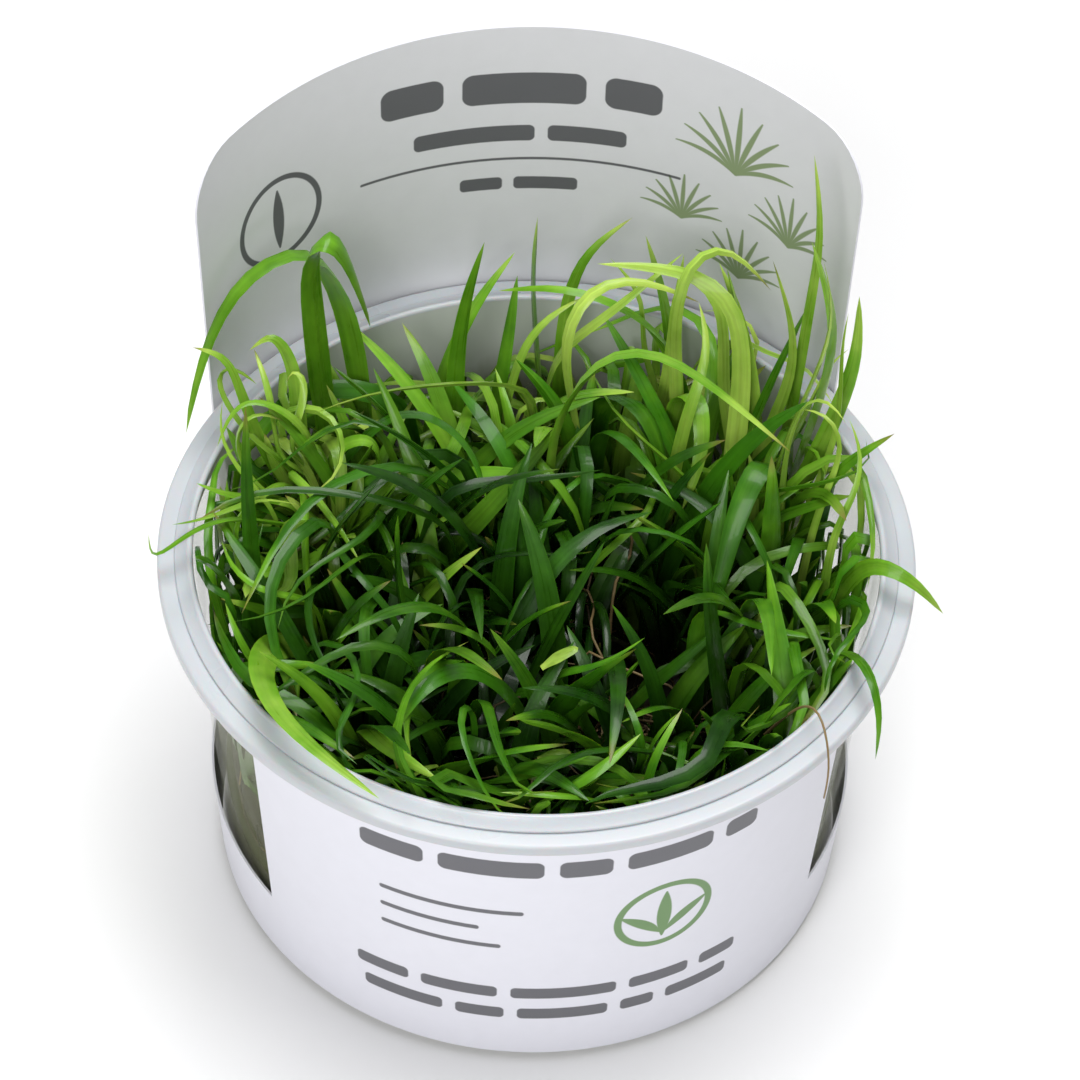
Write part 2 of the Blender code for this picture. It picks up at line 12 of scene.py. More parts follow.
import bmesh
import bpy
from bpy.props import FloatProperty, FloatVectorProperty, IntProperty, PointerProperty
from mathutils import Matrix, Vector
from mathutils.bvhtree import BVHTree


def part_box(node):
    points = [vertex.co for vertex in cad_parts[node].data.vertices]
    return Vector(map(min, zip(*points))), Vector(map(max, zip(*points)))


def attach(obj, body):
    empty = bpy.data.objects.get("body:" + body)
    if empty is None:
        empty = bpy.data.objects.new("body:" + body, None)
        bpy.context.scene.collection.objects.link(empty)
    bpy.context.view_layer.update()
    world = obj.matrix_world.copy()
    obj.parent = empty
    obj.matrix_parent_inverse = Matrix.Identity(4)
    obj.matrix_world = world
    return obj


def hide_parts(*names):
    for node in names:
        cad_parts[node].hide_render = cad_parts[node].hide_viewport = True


bl_info = {
    "name": "Tissue culture cup",
    "version": (1, 0, 0),
    "blender": (4, 5, 0),
    "location": "3D View > Sidebar > Culture cup",
    "description": "Builds the looks of a tissue culture cup with its card, gel and plantlets",
    "category": "Add Mesh",
}

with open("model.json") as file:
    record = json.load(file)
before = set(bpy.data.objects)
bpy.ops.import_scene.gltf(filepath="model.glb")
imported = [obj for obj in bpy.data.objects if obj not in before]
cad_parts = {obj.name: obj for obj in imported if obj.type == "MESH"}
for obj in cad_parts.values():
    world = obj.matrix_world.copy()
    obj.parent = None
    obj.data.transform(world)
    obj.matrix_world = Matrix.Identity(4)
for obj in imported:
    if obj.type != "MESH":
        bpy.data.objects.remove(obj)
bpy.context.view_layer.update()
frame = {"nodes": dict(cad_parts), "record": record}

MM = 0.001
UP = Vector((0.0, 0.0, 1.0))
PLANTLETS = sorted(name for name in frame["nodes"] if name.startswith("plantlet_"))


# Small geometry helpers

def polar(radius, angle, z):
    """Point at an angle from the front (-Y), turning towards +X."""
    return Vector((radius * math.sin(angle), -radius * math.cos(angle), z))


def arc(centre_r, centre_z, radius, start, end, count):
    """Points of a round stretch of a turned profile, angles in degrees from +R towards +Z."""
    turns = (math.radians(start + (end - start) * i / (count - 1)) for i in range(count))
    return [(centre_r + radius * math.cos(turn), centre_z + radius * math.sin(turn)) for turn in turns]


def spline(p0, p1, p2, p3, t):
    """Point of a cubic B-spline on the stretch that lies by p1 and p2."""
    return (p0 * (1.0 - t) ** 3 + p1 * (3.0 * t ** 3 - 6.0 * t * t + 4.0)
            + p2 * (-3.0 * t ** 3 + 3.0 * t * t + 3.0 * t + 1.0) + p3 * t ** 3) / 6.0


def along(values, share):
    """Point at a share of the way along a row of evenly spaced points, rounded where the row turns."""
    padded = [2.0 * values[0] - values[1], *values, 2.0 * values[-1] - values[-2]]
    place = min(max(share, 0.0), 1.0) * (len(values) - 1)
    step = min(int(place), len(values) - 2)
    return spline(*padded[step:step + 4], place - step)


def spin_profile(points, segments):
    """Bmesh of a closed solid turned from an open profile whose two ends lie on the axis."""
    bm = bmesh.new()
    verts = [bm.verts.new((r, 0.0, z)) for r, z in points]
    edges = [bm.edges.new(pair) for pair in zip(verts, verts[1:])]
    bmesh.ops.spin(bm, geom=verts + edges, cent=(0.0, 0.0, 0.0), axis=UP, angle=math.tau,
                   steps=segments, use_merge=True)
    bmesh.ops.remove_doubles(bm, verts=bm.verts[:], dist=0.001 * MM)
    bmesh.ops.recalc_face_normals(bm, faces=bm.faces[:])
    return bm


def add_piece(name, bm, materials, nodes, sharp=40.0):
    """Turn a bmesh into a piece that rides on the root body and stands for the named nodes."""
    mesh = bpy.data.meshes.new(name)
    bm.to_mesh(mesh)
    bm.free()
    for material in materials:
        mesh.materials.append(material)
    mesh.shade_smooth()
    mesh.set_sharp_from_angle(angle=math.radians(sharp))
    piece = bpy.data.objects.new(name, mesh)
    bpy.context.collection.objects.link(piece)
    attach(piece, "root")
    if nodes:
        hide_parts(*nodes)
    return piece


# Materials

class Value:
    """A node socket that takes part in arithmetic and adds the Math nodes for it."""

    def __init__(self, paint, socket):
        self.paint = paint
        self.socket = socket

    def maths(self, operation, *others):
        """Math node of this value and others."""
        sockets = dict(enumerate((self, *others)))
        return self.paint.node("ShaderNodeMath", {"operation": operation}, sockets)

    def __add__(self, other):
        return self.maths("ADD", other)

    def __sub__(self, other):
        return self.maths("SUBTRACT", other)

    def __rsub__(self, other):
        return (self * -1.0) + other

    def __mul__(self, other):
        return self.maths("MULTIPLY", other)

    def __truediv__(self, other):
        return self.maths("DIVIDE", other)

    def __pow__(self, other):
        return self.maths("POWER", other)

    def __abs__(self):
        return self.maths("ABSOLUTE")

    __radd__ = __add__
    __rmul__ = __mul__

    def least(self, other):
        """Smaller of two values."""
        return self.maths("MINIMUM", other)

    def most(self, other):
        """Larger of two values."""
        return self.maths("MAXIMUM", other)

    def clamped(self):
        """The value held between 0 and 1."""
        return self.least(1.0).most(0.0)

    def sine(self):
        """Sine of the value."""
        return self.maths("SINE")

    def root(self):
        """Square root of the value."""
        return self.maths("SQRT")


class Paint:
    """A Principled material that is built up from nodes."""

    def __init__(self, name, **constants):
        self.material = bpy.data.materials.new(name)
        self.material.use_nodes = True
        self.tree = self.material.node_tree
        self.shader = self.tree.nodes["Principled BSDF"]
        for socket, value in constants.items():
            self.shader.inputs[socket.replace("_", " ")].default_value = value

    def node(self, kind, settings=None, sockets=None, output=0):
        """Node of a type with its settings and its sockets' values or links; gives one output."""
        node = self.tree.nodes.new(kind)
        for key, value in (settings or {}).items():
            if key == "stops":
                ramp = node.color_ramp
                while len(ramp.elements) < len(value):
                    ramp.elements.new(1.0)
                for element, (place, colour) in zip(ramp.elements, value):
                    element.position = place
                    element.color = colour
            else:
                setattr(node, key, value)
        for key, value in (sockets or {}).items():
            if isinstance(value, Value):
                self.tree.links.new(value.socket, node.inputs[key])
            else:
                node.inputs[key].default_value = value
        return Value(self, node.outputs[output])

    def place(self):
        """Object coordinates."""
        return self.node("ShaderNodeTexCoord", output="Object")

    def stretched(self, vector, scale):
        """Coordinates scaled along their three axes."""
        return self.node("ShaderNodeMapping", {}, {"Vector": vector, "Scale": scale})

    def noise(self, vector, scale, detail=3.0, roughness=0.55):
        """Noise value between 0 and 1."""
        return self.node("ShaderNodeTexNoise", {},
                         {"Vector": vector, "Scale": scale, "Detail": detail, "Roughness": roughness})

    def parts(self, vector):
        """The three numbers of a vector or colour."""
        x = self.node("ShaderNodeSeparateXYZ", {}, {"Vector": vector})
        node = x.socket.node
        return tuple(Value(self, node.outputs[i]) for i in range(3))

    def attribute(self, name):
        """The three numbers of a colour attribute."""
        return self.parts(self.node("ShaderNodeAttribute", {"attribute_name": name}, output="Color"))

    def map(self, name):
        """The three numbers of a map."""
        return self.parts(self.node("ShaderNodeUVMap", {"uv_map": name}))

    def joined(self, x, y, z):
        """Vector or colour of three numbers."""
        return self.node("ShaderNodeCombineXYZ", {}, {0: x, 1: y, 2: z})

    def mixed(self, factor, first, second, blend="MIX"):
        """Two colours mixed by a factor."""
        return self.node("ShaderNodeMix", {"data_type": "RGBA", "blend_type": blend},
                         {"Factor": factor, 6: first, 7: second}, output=2)

    def ramp(self, value, stops):
        """Colour read from a ramp."""
        return self.node("ShaderNodeValToRGB", {"stops": stops}, {"Fac": value})

    def bump(self, height, distance, strength=1.0):
        """Normal from a height."""
        return self.node("ShaderNodeBump", {},
                         {"Height": height, "Distance": distance, "Strength": strength})

    def feed(self, socket, value):
        """Link a value to one of the shader's sockets."""
        self.tree.links.new(value.socket, self.shader.inputs[socket])


def rgb(colour, strength=1.0):
    """Colour made darker or lighter, with an alpha of one."""
    return (*(min(1.0, strength * c) for c in colour), 1.0)


def wall_finish(cup):
    """Thin clear polypropylene of the wall and the base: olive below, foggy, and pale by the rim, most
    at the back, where the pale is painted light that stands in for light shining through the card from
    behind.
    """
    paint = Paint("clear_wall", IOR=1.45)
    place = paint.place()
    _, backward, height = paint.parts(place)
    fog = paint.noise(paint.stretched(place, (1.0, 1.0, 0.25)), 90.0, 4.0)
    run = paint.noise(paint.stretched(place, (1.0, 1.0, 0.04)), 75.0, 1.0)
    run = ((run - 0.57) * 14.0).clamped()
    # upper and back: painted light, a pale and more opaque band by the rim, strongest at the back, in
    # place of light that shines through the card from behind; the runs are pale streaks
    upper = ((height / MM - 34.0 + (fog - 0.5) * 16.0) / 12.0).clamped()
    back = ((backward / MM - 14.0) / 12.0).clamped()
    pale = (upper * (back * 0.8 + 0.2)).most(run * 0.7)
    paint.feed("Base Color", paint.mixed(pale, rgb(cup.wall_olive), rgb(cup.wall_pale_runs_and_painted_backlight)))
    paint.feed("Alpha", (fog * 0.28 + 0.02 + run * 0.14 + upper * (back * 0.5 + 0.12)).clamped())
    paint.feed("Roughness", paint.noise(place, 45.0) * 0.1 + 0.06)
    return paint.material


def rim_finish(colour):
    """Thicker, milky plastic of the flange and the bead, slightly cloudy."""
    paint = Paint("milky_rim", Subsurface_Weight=0.35, Subsurface_Scale=1.0 * MM)
    haze = paint.noise(paint.place(), 60.0)
    paint.feed("Base Color", paint.mixed(haze, rgb(colour, 0.95), rgb(colour)))
    paint.feed("Roughness", haze * 0.2 + 0.2)
    return paint.material


def gel_finish(colour):
    """Wet olive gel, darker in clouds."""
    paint = Paint("nutrient_gel", Transmission_Weight=0.35, IOR=1.34, Roughness=0.18)
    cloud = paint.noise(paint.place(), 70.0, 4.0)
    paint.feed("Base Color", paint.mixed(cloud, rgb(colour, 0.45), rgb(colour, 1.5)))
    return paint.material


def root_finish(settings):
    """Moist dark mat, with threads from brown to straw-coloured by their tone."""
    paint = Paint("root_tangle", Roughness=0.5, Specular_IOR_Level=0.25, Coat_Weight=0.1,
                  Coat_Roughness=0.15)
    place = paint.place()
    patch = paint.noise(place, 130.0, 4.0)
    pale, _, _ = paint.attribute("tone")
    brown = settings.root_brown
    mat = paint.ramp(patch, ((0.3, rgb(brown, 0.35)), (0.7, rgb(brown))))
    straw = (pale + (patch - 0.5) * 0.4 * pale).clamped()
    paint.feed("Base Color", paint.mixed(straw, mat, rgb(settings.root_straw)))
    paint.feed("Normal", paint.bump(paint.noise(place, 900.0, 3.0), 0.15 * MM))
    return paint.material


def leaf_finish(settings):
    """Wet, fleshy blade: greens by its tone, paler at foot and tip, with painted shade deep in the tuft
    and painted light by the side windows.
    """
    paint = Paint("leaf_blade", Specular_IOR_Level=0.22, Coat_Weight=0.16, Coat_Roughness=0.05,
                  Subsurface_Weight=0.2, Subsurface_Scale=0.7 * MM)
    paint.shader.inputs["Subsurface Radius"].default_value = (0.6, 1.0, 0.1)
    yellow, light, chance = paint.attribute("tone")
    across, reach, _ = paint.map("blade")
    place = paint.place()
    sideways, _, height = paint.parts(place)
    patch = paint.noise(place, 160.0, 3.0)
    veins = (across * 19.0 + chance * 6.0).sine() * 0.5 + 0.5
    from_mid = abs(across - 0.5) * 2.0
    streak = paint.noise(paint.joined(across * 1.6 + chance * 20.0, reach, chance * 9.0), 3.2, 3.0)
    foot = (1.0 - reach * 6.0).clamped()
    tip = ((reach - 0.84) * 6.0).clamped()
    age = yellow + (patch - 0.5) * 0.45 + (1.0 - from_mid) * 0.06 + foot * 0.3 + tip * chance * 0.6
    colour = paint.ramp(age.clamped(), (
        (0.0, rgb(settings.shade_green)), (0.3, rgb(settings.leaf_green)),
        (0.6, rgb(settings.fresh_green)), (1.0, rgb(settings.pale_green))))
    # Painted light and shade: leaves by the side windows are lighter, and leaves are darker the deeper
    # they lie under the top of the tuft
    painted_window_light = ((abs(sideways) / MM - 34.0) / 6.0).clamped() * 0.9
    painted_shade_and_window_light = (((height / MM - 27.0) / 27.0).clamped() ** 1.4).most(painted_window_light) * 0.86 + 0.14
    # The tone's lightness holds a random lightness and the painted shade in the middle of the tuft
    strength = light * 0.8 + 0.6 + (veins - 0.5) * 0.05 + (patch - 0.5) * 0.35 + (streak - 0.5) * 0.9
    strength = strength * painted_shade_and_window_light
    colour = paint.mixed(1.0, colour, paint.joined(strength, strength, strength), blend="MULTIPLY")
    withered = ((reach - 0.93) * 14.0).clamped() * ((chance - 0.65) * 10.0).clamped()
    paint.feed("Base Color", paint.mixed(withered, colour, rgb(settings.tip_brown)))
    paint.feed("Roughness", (patch * 0.25 + streak * 0.45 - 0.02).clamped())
    cells = paint.noise(paint.stretched(place, (1.0, 1.0, 0.35)), 1500.0, 2.0)
    paint.feed("Normal", paint.bump(veins * 0.08 + cells * 0.3, 0.08 * MM, 0.6))
    return paint.material


# Soft edge of the print, in mm, and how far above the front's map the back's outside is mapped
INK_EDGE = 0.16
BACK_SHIFT = 200.0 * MM


class Print:
    """Flat print on the card, a mask over its map: arc length from the middle and height, in mm."""

    def __init__(self, paint):
        self.paint = paint
        across, height, _ = paint.map("card")
        self.x = across * 1000.0
        self.y = height * 1000.0
        self.mask = None

    def add(self, distance):
        """Ink where a distance in mm is below zero, with a soft edge."""
        ink = (0.5 - distance / INK_EDGE).clamped()
        self.mask = ink if self.mask is None else self.mask.most(ink)

    def turned(self, x, y, degrees):
        """Coordinates about a point, turned by an angle."""
        c, s = math.cos(math.radians(degrees)), math.sin(math.radians(degrees))
        dx, dy = self.x - x, self.y - y
        return dx * c + dy * s, dy * c - dx * s

    def bar(self, x, y, width, height, degrees=0.0, corner=0.3):
        """Rounded bar about its middle."""
        dx, dy = self.turned(x, y, degrees)
        out_x = (abs(dx) - (width / 2 - corner)).most(0.0)
        out_y = (abs(dy) - (height / 2 - corner)).most(0.0)
        self.add((out_x * out_x + out_y * out_y).root() - corner)

    def ring(self, x, y, radius, line):
        """Circle line, or a disc where the line is as wide as the radius."""
        dx, dy = self.turned(x, y, 0.0)
        self.add(abs((dx * dx + dy * dy).root() - (radius - line / 2)) - line / 2)

    def blade(self, x, y, length, width, degrees, bend):
        """Leaf shape from its foot, bent to one side."""
        dx, dy = self.turned(x, y, degrees)
        share = (dy / length).clamped()
        middle = dx - share * share * bend
        half = share * (1.0 - share) * (2.0 * width) + 0.12
        off_end = (abs(dy - length / 2) - length / 2).most(0.0)
        self.add(abs(middle) - half + off_end * 2.0)


def bars_line(ink, x, y, height, widths, gap):
    """A row of plain bars, centred at a point, in the place of a line of text."""
    total = sum(widths) + gap * (len(widths) - 1)
    start = x - total / 2
    for width in widths:
        ink.bar(start + width / 2, y, width, height, corner=height * 0.3)
        start += width + gap


def tuft(ink, x, y, size, blades):
    """A fan of bent blades from one foot."""
    for i in range(blades):
        share = 2.0 * i / (blades - 1) - 1.0
        length = size * (1.0 - 0.25 * abs(share))
        ink.blade(x, y, length, size * 0.05, -52.0 * share, size * 0.28 * share)


def print_outside(grey, green):
    """Front panel: bars for a title, a ring with three leaves, thin lines and two rows of bars."""
    bars_line(grey, 1.0, 45.4, 3.6, (9.0, 14.0, 7.0, 12.0, 5.0), 2.0)
    green.ring(15.5, 31.0, 7.2, 1.1)
    green.blade(15.5, 25.8, 10.4, 1.9, 0.0, 0.0)
    green.blade(15.2, 26.8, 8.0, 1.5, 38.0, -1.4)
    green.blade(15.8, 26.8, 8.0, 1.5, -38.0, 1.4)
    for i, length in enumerate((20.0, 14.0, 17.0)):
        grey.bar(-14.0 - (20.0 - length) / 2, 35.2 - 4.0 * i, length, 0.9, corner=0.4)
    bars_line(grey, 0.0, 16.0, 2.5, (8.0, 11.0, 15.0, 9.0, 6.0), 1.9)
    bars_line(grey, 0.0, 11.0, 2.5, (12.0, 7.0, 13.0, 5.0, 10.0), 1.9)


def print_back(grey, green):
    """Back of the header, shifted on the map: a title, rows of bars and a ring between thin lines."""
    back = BACK_SHIFT / MM
    rows = ((12.0, 19.0, 8.0, 14.0), (17.0, 9.0, 20.0), (8.0, 15.0, 12.0, 16.0), (22.0, 11.0))
    bars_line(grey, 0.0, back + 84.0, 4.2, (13.0, 8.0, 15.0), 2.2)
    for i, widths in enumerate(rows):
        bars_line(grey, 0.0, back + 72.0 - 5.0 * i, 1.7, widths, 1.5)
    green.ring(0.0, back + 40.0, 8.0, 1.1)
    tuft(green, 0.0, back + 35.5, 9.5, 7)
    for i, x in enumerate((-30.0, 30.0)):
        grey.bar(x, back + 42.0, 20.0, 0.9, corner=0.4)
        grey.bar(x, back + 38.0, 16.0 + 3.0 * i, 0.9, corner=0.4)


def print_inside(grey, green):
    """Header: titles over a line, a ring with a leaf and fans of blades; small rows behind the wall."""
    for i, widths in enumerate(((5.0, 3.0, 7.0), (4.0, 8.0, 3.0), (6.0, 5.0, 3.0))):
        bars_line(grey, -19.0, 47.2 - 3.0 * i, 1.1, widths, 0.9)
        bars_line(grey, 17.0, 47.2 - 3.0 * i, 1.1, widths[::-1], 0.9)
    bars_line(grey, 0.0, 89.6, 5.4, (9.0, 17.0, 8.0), 2.6)
    bars_line(grey, 0.0, 81.6, 2.8, (17.0, 11.0), 1.8)
    grey.bar(0.0, 77.0, 46.0, 0.45, corner=0.2)
    bars_line(grey, 0.0, 72.6, 2.2, (6.0, 9.0), 1.6)
    grey.ring(-36.5, 78.0, 7.4, 0.9)
    grey.blade(-36.5, 72.8, 10.4, 1.7, 0.0, 0.0)
    for x, y, size in ((31.0, 81.0, 12.0), (40.5, 73.0, 9.0), (23.5, 70.0, 8.0), (33.0, 63.0, 9.0)):
        tuft(green, x, y, size, 9)


def card_finish(settings, side):
    """Smooth white card with a plain print, for its outside or its inside."""
    paint = Paint("card_" + side, Specular_IOR_Level=0.4)
    place = paint.place()
    fibre = paint.noise(place, 350.0, 3.0)
    grey, green = Print(paint), Print(paint)
    if side == "outside":
        base, green_ink = settings.outside_white, settings.ink_green
        print_outside(grey, green)
        print_back(grey, green)
    else:
        base, green_ink = settings.inside_white, settings.ink_moss
        print_inside(grey, green)
    colour = paint.mixed(fibre, rgb(base, 0.95), rgb(base))
    colour = paint.mixed(green.mask * 0.9, colour, rgb(green_ink))
    colour = paint.mixed(grey.mask * 0.92, colour, rgb(settings.ink_grey))
    paint.feed("Base Color", colour)
    paint.feed("Roughness", fibre * 0.12 + 0.36)
    paint.feed("Normal", paint.bump(paint.noise(place, 1500.0, 2.0), 0.02 * MM, 0.4))
    return paint.material


# Sizes and colours that a user would change

def length_of(name, description, default):
    """Property for a length."""
    return FloatProperty(name=name, description=description, default=default, unit="LENGTH")


def angle_of(name, description, degrees):
    """Property for an angle."""
    return FloatProperty(name=name, description=description, default=math.radians(degrees),
                         subtype="ANGLE")


def number_of(name, description, default):
    """Property for a plain number."""
    return FloatProperty(name=name, description=description, default=default, min=0.0)


def colour_of(name, description, default):
    """Property for a colour."""
    return FloatVectorProperty(name=name, description=description, default=default, subtype="COLOR",
                               min=0.0, max=1.0)


def count_of(name, description, default, least=0):
    """Property for a number of things."""
    return IntProperty(name=name, description=description, default=default, min=least)


class CupSettings(bpy.types.PropertyGroup):
    """Clear tub."""

    segments: count_of("Segments", "Steps once round the cup", 160, 32)
    base_radius: length_of("Base radius", "Outer radius at the underside", 42.5 * MM)
    wall_top_radius: length_of("Wall top radius", "Outer radius of the wall under the rim", 46.4 * MM)
    rim_radius: length_of("Rim radius", "Outer radius of the flange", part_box("cup")[1].x)
    rim_height: length_of("Rim height", "Height of the flange's top", 55.0 * MM)
    wall: length_of("Wall", "Thickness of the plastic", 0.7 * MM)
    # Pale tint of the upper wall: painted light that stands in for light through the card from behind,
    # and the tint of the pale runs
    wall_pale_runs_and_painted_backlight: colour_of("Wall, upper", "Tint of the wall by the rim", (0.72, 0.75, 0.7))
    wall_olive: colour_of("Wall, lower", "Tint of the wall by the gel", (0.44, 0.47, 0.25))
    rim_colour: colour_of("Rim", "Tint of the milky rim", (0.55, 0.58, 0.61))


class CardSettings(bpy.types.PropertyGroup):
    """Card sleeve."""

    thickness: length_of("Thickness", "Thickness of the card", 0.3 * MM)
    foot: length_of("Foot", "Height of the card's lower edge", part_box("card_sleeve")[0].z)
    band_top: length_of("Band top", "Height of the band under the side windows", 13.8 * MM)
    header_top: length_of("Header top", "Height of the header's middle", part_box("card_sleeve")[1].z)
    outside_white: colour_of("Outside", "White of the outside", (0.8, 0.8, 0.87))
    inside_white: colour_of("Inside", "White of the inside", (0.815, 0.81, 0.845))
    ink_grey: colour_of("Grey ink", "Dark print", (0.075, 0.075, 0.085))
    ink_green: colour_of("Green ink", "Green print on the outside", (0.09, 0.23, 0.03))
    ink_moss: colour_of("Moss ink", "Muted green print on the header", (0.22, 0.30, 0.12))


class PlantSettings(bpy.types.PropertyGroup):
    """Plantlets, roots and gel."""

    stations: count_of("Stations", "Steps along a blade", 17, 8)
    fine_stations: count_of("Fine stations", "Steps along a leaf that stands out", 26, 8)
    lying: count_of("Lying leaves", "Most young leaves that bend over and lie", 420)
    winding: count_of("Winding leaves", "Most thin young leaves that curl", 240)
    pressed: count_of("Pressed leaves", "Most young leaves against the wall", 240)
    short: count_of("Short leaves", "Most short young leaves in between", 300)
    daughters: count_of("Daughter shoots", "Small shoots beside each crown", 2)
    tries: count_of("Tries", "Ways that are tried for each young leaf", 65, 1)
    blade_width: length_of("Blade width", "Widest part of a usual blade", 2.8 * MM)
    broader: number_of("Broader", "Blade width over that of the solid leaves", 1.32)
    roots: count_of("Roots", "Fine roots on the mat", 300)
    arching_roots: count_of("Arching roots", "Roots that rise into the hollow", 60)
    shade_green: colour_of("Shade green", "Darkest leaves", (0.01, 0.052, 0.003))
    leaf_green: colour_of("Leaf green", "Usual leaves", (0.034, 0.14, 0.004))
    fresh_green: colour_of("Fresh green", "Young leaves", (0.115, 0.285, 0.012))
    pale_green: colour_of("Pale green", "Oldest and palest leaves", (0.34, 0.48, 0.075))
    tip_brown: colour_of("Tip brown", "Withered tips of some leaves", (0.17, 0.12, 0.03))
    root_brown: colour_of("Mat", "Colour of the root mat", (0.03, 0.022, 0.008))
    root_straw: colour_of("Threads", "Colour of the palest roots", (0.3, 0.21, 0.09))
    gel_olive: colour_of("Gel", "Colour of the gel", (0.12, 0.15, 0.03))


class StageSettings(bpy.types.PropertyGroup):
    """Camera and light."""

    distance: length_of("Distance", "Camera to the middle of the rim", 0.64)
    elevation: angle_of("Elevation", "Angle of the view from above", 48.4)
    azimuth: angle_of("Azimuth", "Turn of the view to the left", -4.8)
    roll: angle_of("Roll", "Tilt of the picture", 2.0)
    lens: number_of("Lens", "Focal length in millimetres", 160.26)
    room_light: number_of("Room light", "Strength of the light from all round", 0.2)
    top_watts: number_of("Top lamp", "Power of the lamp overhead, in watts", 14.0)
    front_watts: number_of("Front lamp", "Power of the lamp in front, in watts", 7.5)


# Cup

def cup_profile(cup):
    """Profile from the underside's centre up the outside, over the flange and bead, down the inside."""
    flange, lip_drop, corner, bead = 0.8 * MM, 1.7 * MM, 2.8 * MM, 2.5 * MM
    edge, low = 0.25 * MM, cup.rim_height - flange
    corner_centre = cup.base_radius - corner
    inside = cup.wall_top_radius - cup.wall
    lip_inner = cup.rim_radius - flange
    points = [(0.0, 0.0)]
    points += arc(corner_centre, corner, corner, -90, -5, 9)
    points += [(cup.wall_top_radius - 0.1 * MM, low - 2.2 * MM)]
    points += arc(cup.wall_top_radius + 1.4 * MM, low - 1.5 * MM, 1.5 * MM, 180, 90, 6)
    points += [(lip_inner, low), (lip_inner, cup.rim_height - lip_drop)]
    points += arc(cup.rim_radius - edge, cup.rim_height - lip_drop + edge, edge, -90, 0, 3)
    points += arc(cup.rim_radius - 2 * edge, cup.rim_height - 2 * edge, 2 * edge, 0, 90, 5)
    points += arc(inside + bead - edge, cup.rim_height + edge, edge, -90, 80, 5)
    points += arc(inside + 2 * edge, cup.rim_height + 3 * edge, 2 * edge, 20, 180, 9)
    points += arc(corner_centre, corner, corner - cup.wall, -5, -90, 8)
    points += [(0.0, cup.wall)]
    return points


class CUP_OT_tub(bpy.types.Operator):
    """Clear tub with its flange and bead"""

    bl_idname = "culture_cup.tub"
    bl_label = "Clear tub"

    def execute(self, context):
        """Turn the profile, clear in the wall and milky in the rim."""
        cup = context.scene.culture_cup
        bm = spin_profile(cup_profile(cup), cup.segments)
        rim_foot = cup.rim_height - 2.4 * MM
        for face in bm.faces:
            face.material_index = int(face.calc_center_median().z > rim_foot)
        add_piece("clear_tub", bm, [wall_finish(cup), rim_finish(cup.rim_colour)],
                  ["cup"], sharp=50.0)
        return {"FINISHED"}


# Card sleeve

PANEL_HALF = math.radians(55.4)
PANEL_TOP = 53.2 * MM
PANEL_CORNER = 5.0 * MM
HEADER_HALF = math.radians(56.6)
HEADER_DROP = 3.2 * MM
HEADER_CORNER = 8.0 * MM
RIM_BEND = 3.0 * MM
CARD_RADII = {"foot": 43.1 * MM, "panel": 46.95 * MM, "rim": 51.0 * MM, "header": 53.0 * MM}


def card_radius(card, angle, z):
    """Inner radius of the card: close to the wall in front, outside the flange at the back."""
    slope = (CARD_RADII["panel"] - CARD_RADII["foot"]) / (PANEL_TOP - card.foot)
    front = CARD_RADII["foot"] + slope * (z - card.foot)
    if math.cos(angle) > 0.0 or z <= card.band_top:
        return front
    band = CARD_RADII["foot"] + slope * (card.band_top - card.foot)
    below_rim = band + (CARD_RADII["rim"] - band) * (z - card.band_top) / (PANEL_TOP - card.band_top)
    above_rim = CARD_RADII["rim"] + (CARD_RADII["header"] - CARD_RADII["rim"]) * (z - PANEL_TOP) / (
        card.header_top - PANEL_TOP)
    if abs(z - PANEL_TOP) >= RIM_BEND:
        return min(below_rim, above_rim)
    bend = (z - PANEL_TOP) / (2.0 * RIM_BEND) + 0.5
    return below_rim * (1.0 - bend) + above_rim * bend


def card_top(card, offset, carries):
    """Height of a panel's top edge at an angle from its middle: a gentle arch with round corners."""
    if carries == "panel":
        half, radius, corner, top, drop = PANEL_HALF, CARD_RADII["panel"], PANEL_CORNER, PANEL_TOP, 0.0
    else:
        half, radius, corner = HEADER_HALF, CARD_RADII["header"], HEADER_CORNER
        top, drop = card.header_top, HEADER_DROP
    arch = top - drop * (offset / half) ** 2
    inward = corner - min(corner, (half - abs(offset)) * radius)
    return arch - corner + math.sqrt(max(0.0, corner ** 2 - inward ** 2))


def card_columns():
    """Angles of the card's columns, with what each carries and its angle from the middle of that."""
    columns = []
    for carries, middle, half, corner, gap_end in (
            ("panel", 0.0, PANEL_HALF, PANEL_CORNER, math.pi - HEADER_HALF),
            ("header", math.pi, HEADER_HALF, HEADER_CORNER, math.tau - PANEL_HALF)):
        turn = corner / CARD_RADII[carries]
        round_part = [half - turn * (1.0 - math.cos(math.radians(11.25 * i))) for i in range(9)]
        even = [round_part[-1] * (i / 24 - 1.0) for i in range(1, 48)]
        offsets = [-offset for offset in round_part] + even + round_part[::-1]
        columns += [(middle + offset, offset, carries) for offset in offsets]
        gap = gap_end - middle - half
        columns += [(middle + half + gap * i / 24, 0.0, "window") for i in range(1, 24)]
    return columns


def raise_edges(bm, card, edges, column_of, height_of):
    """Extrude edges of the card up to the next row, and give the column of each new point."""
    corner_of = {}
    for edge in edges:
        for vert in edge.verts:
            corner_of[vert.co.copy().freeze()] = column_of[vert]
    raised = bmesh.ops.extrude_edge_only(bm, edges=edges)["geom"]
    above = {}
    for vert in raised:
        if isinstance(vert, bmesh.types.BMVert):
            column = corner_of[vert.co.copy().freeze()]
            above[vert] = column
            height = height_of(column)
            vert.co = polar(card_radius(card, column[0], height), column[0], height)
    return [item for item in raised if isinstance(item, bmesh.types.BMEdge)], above


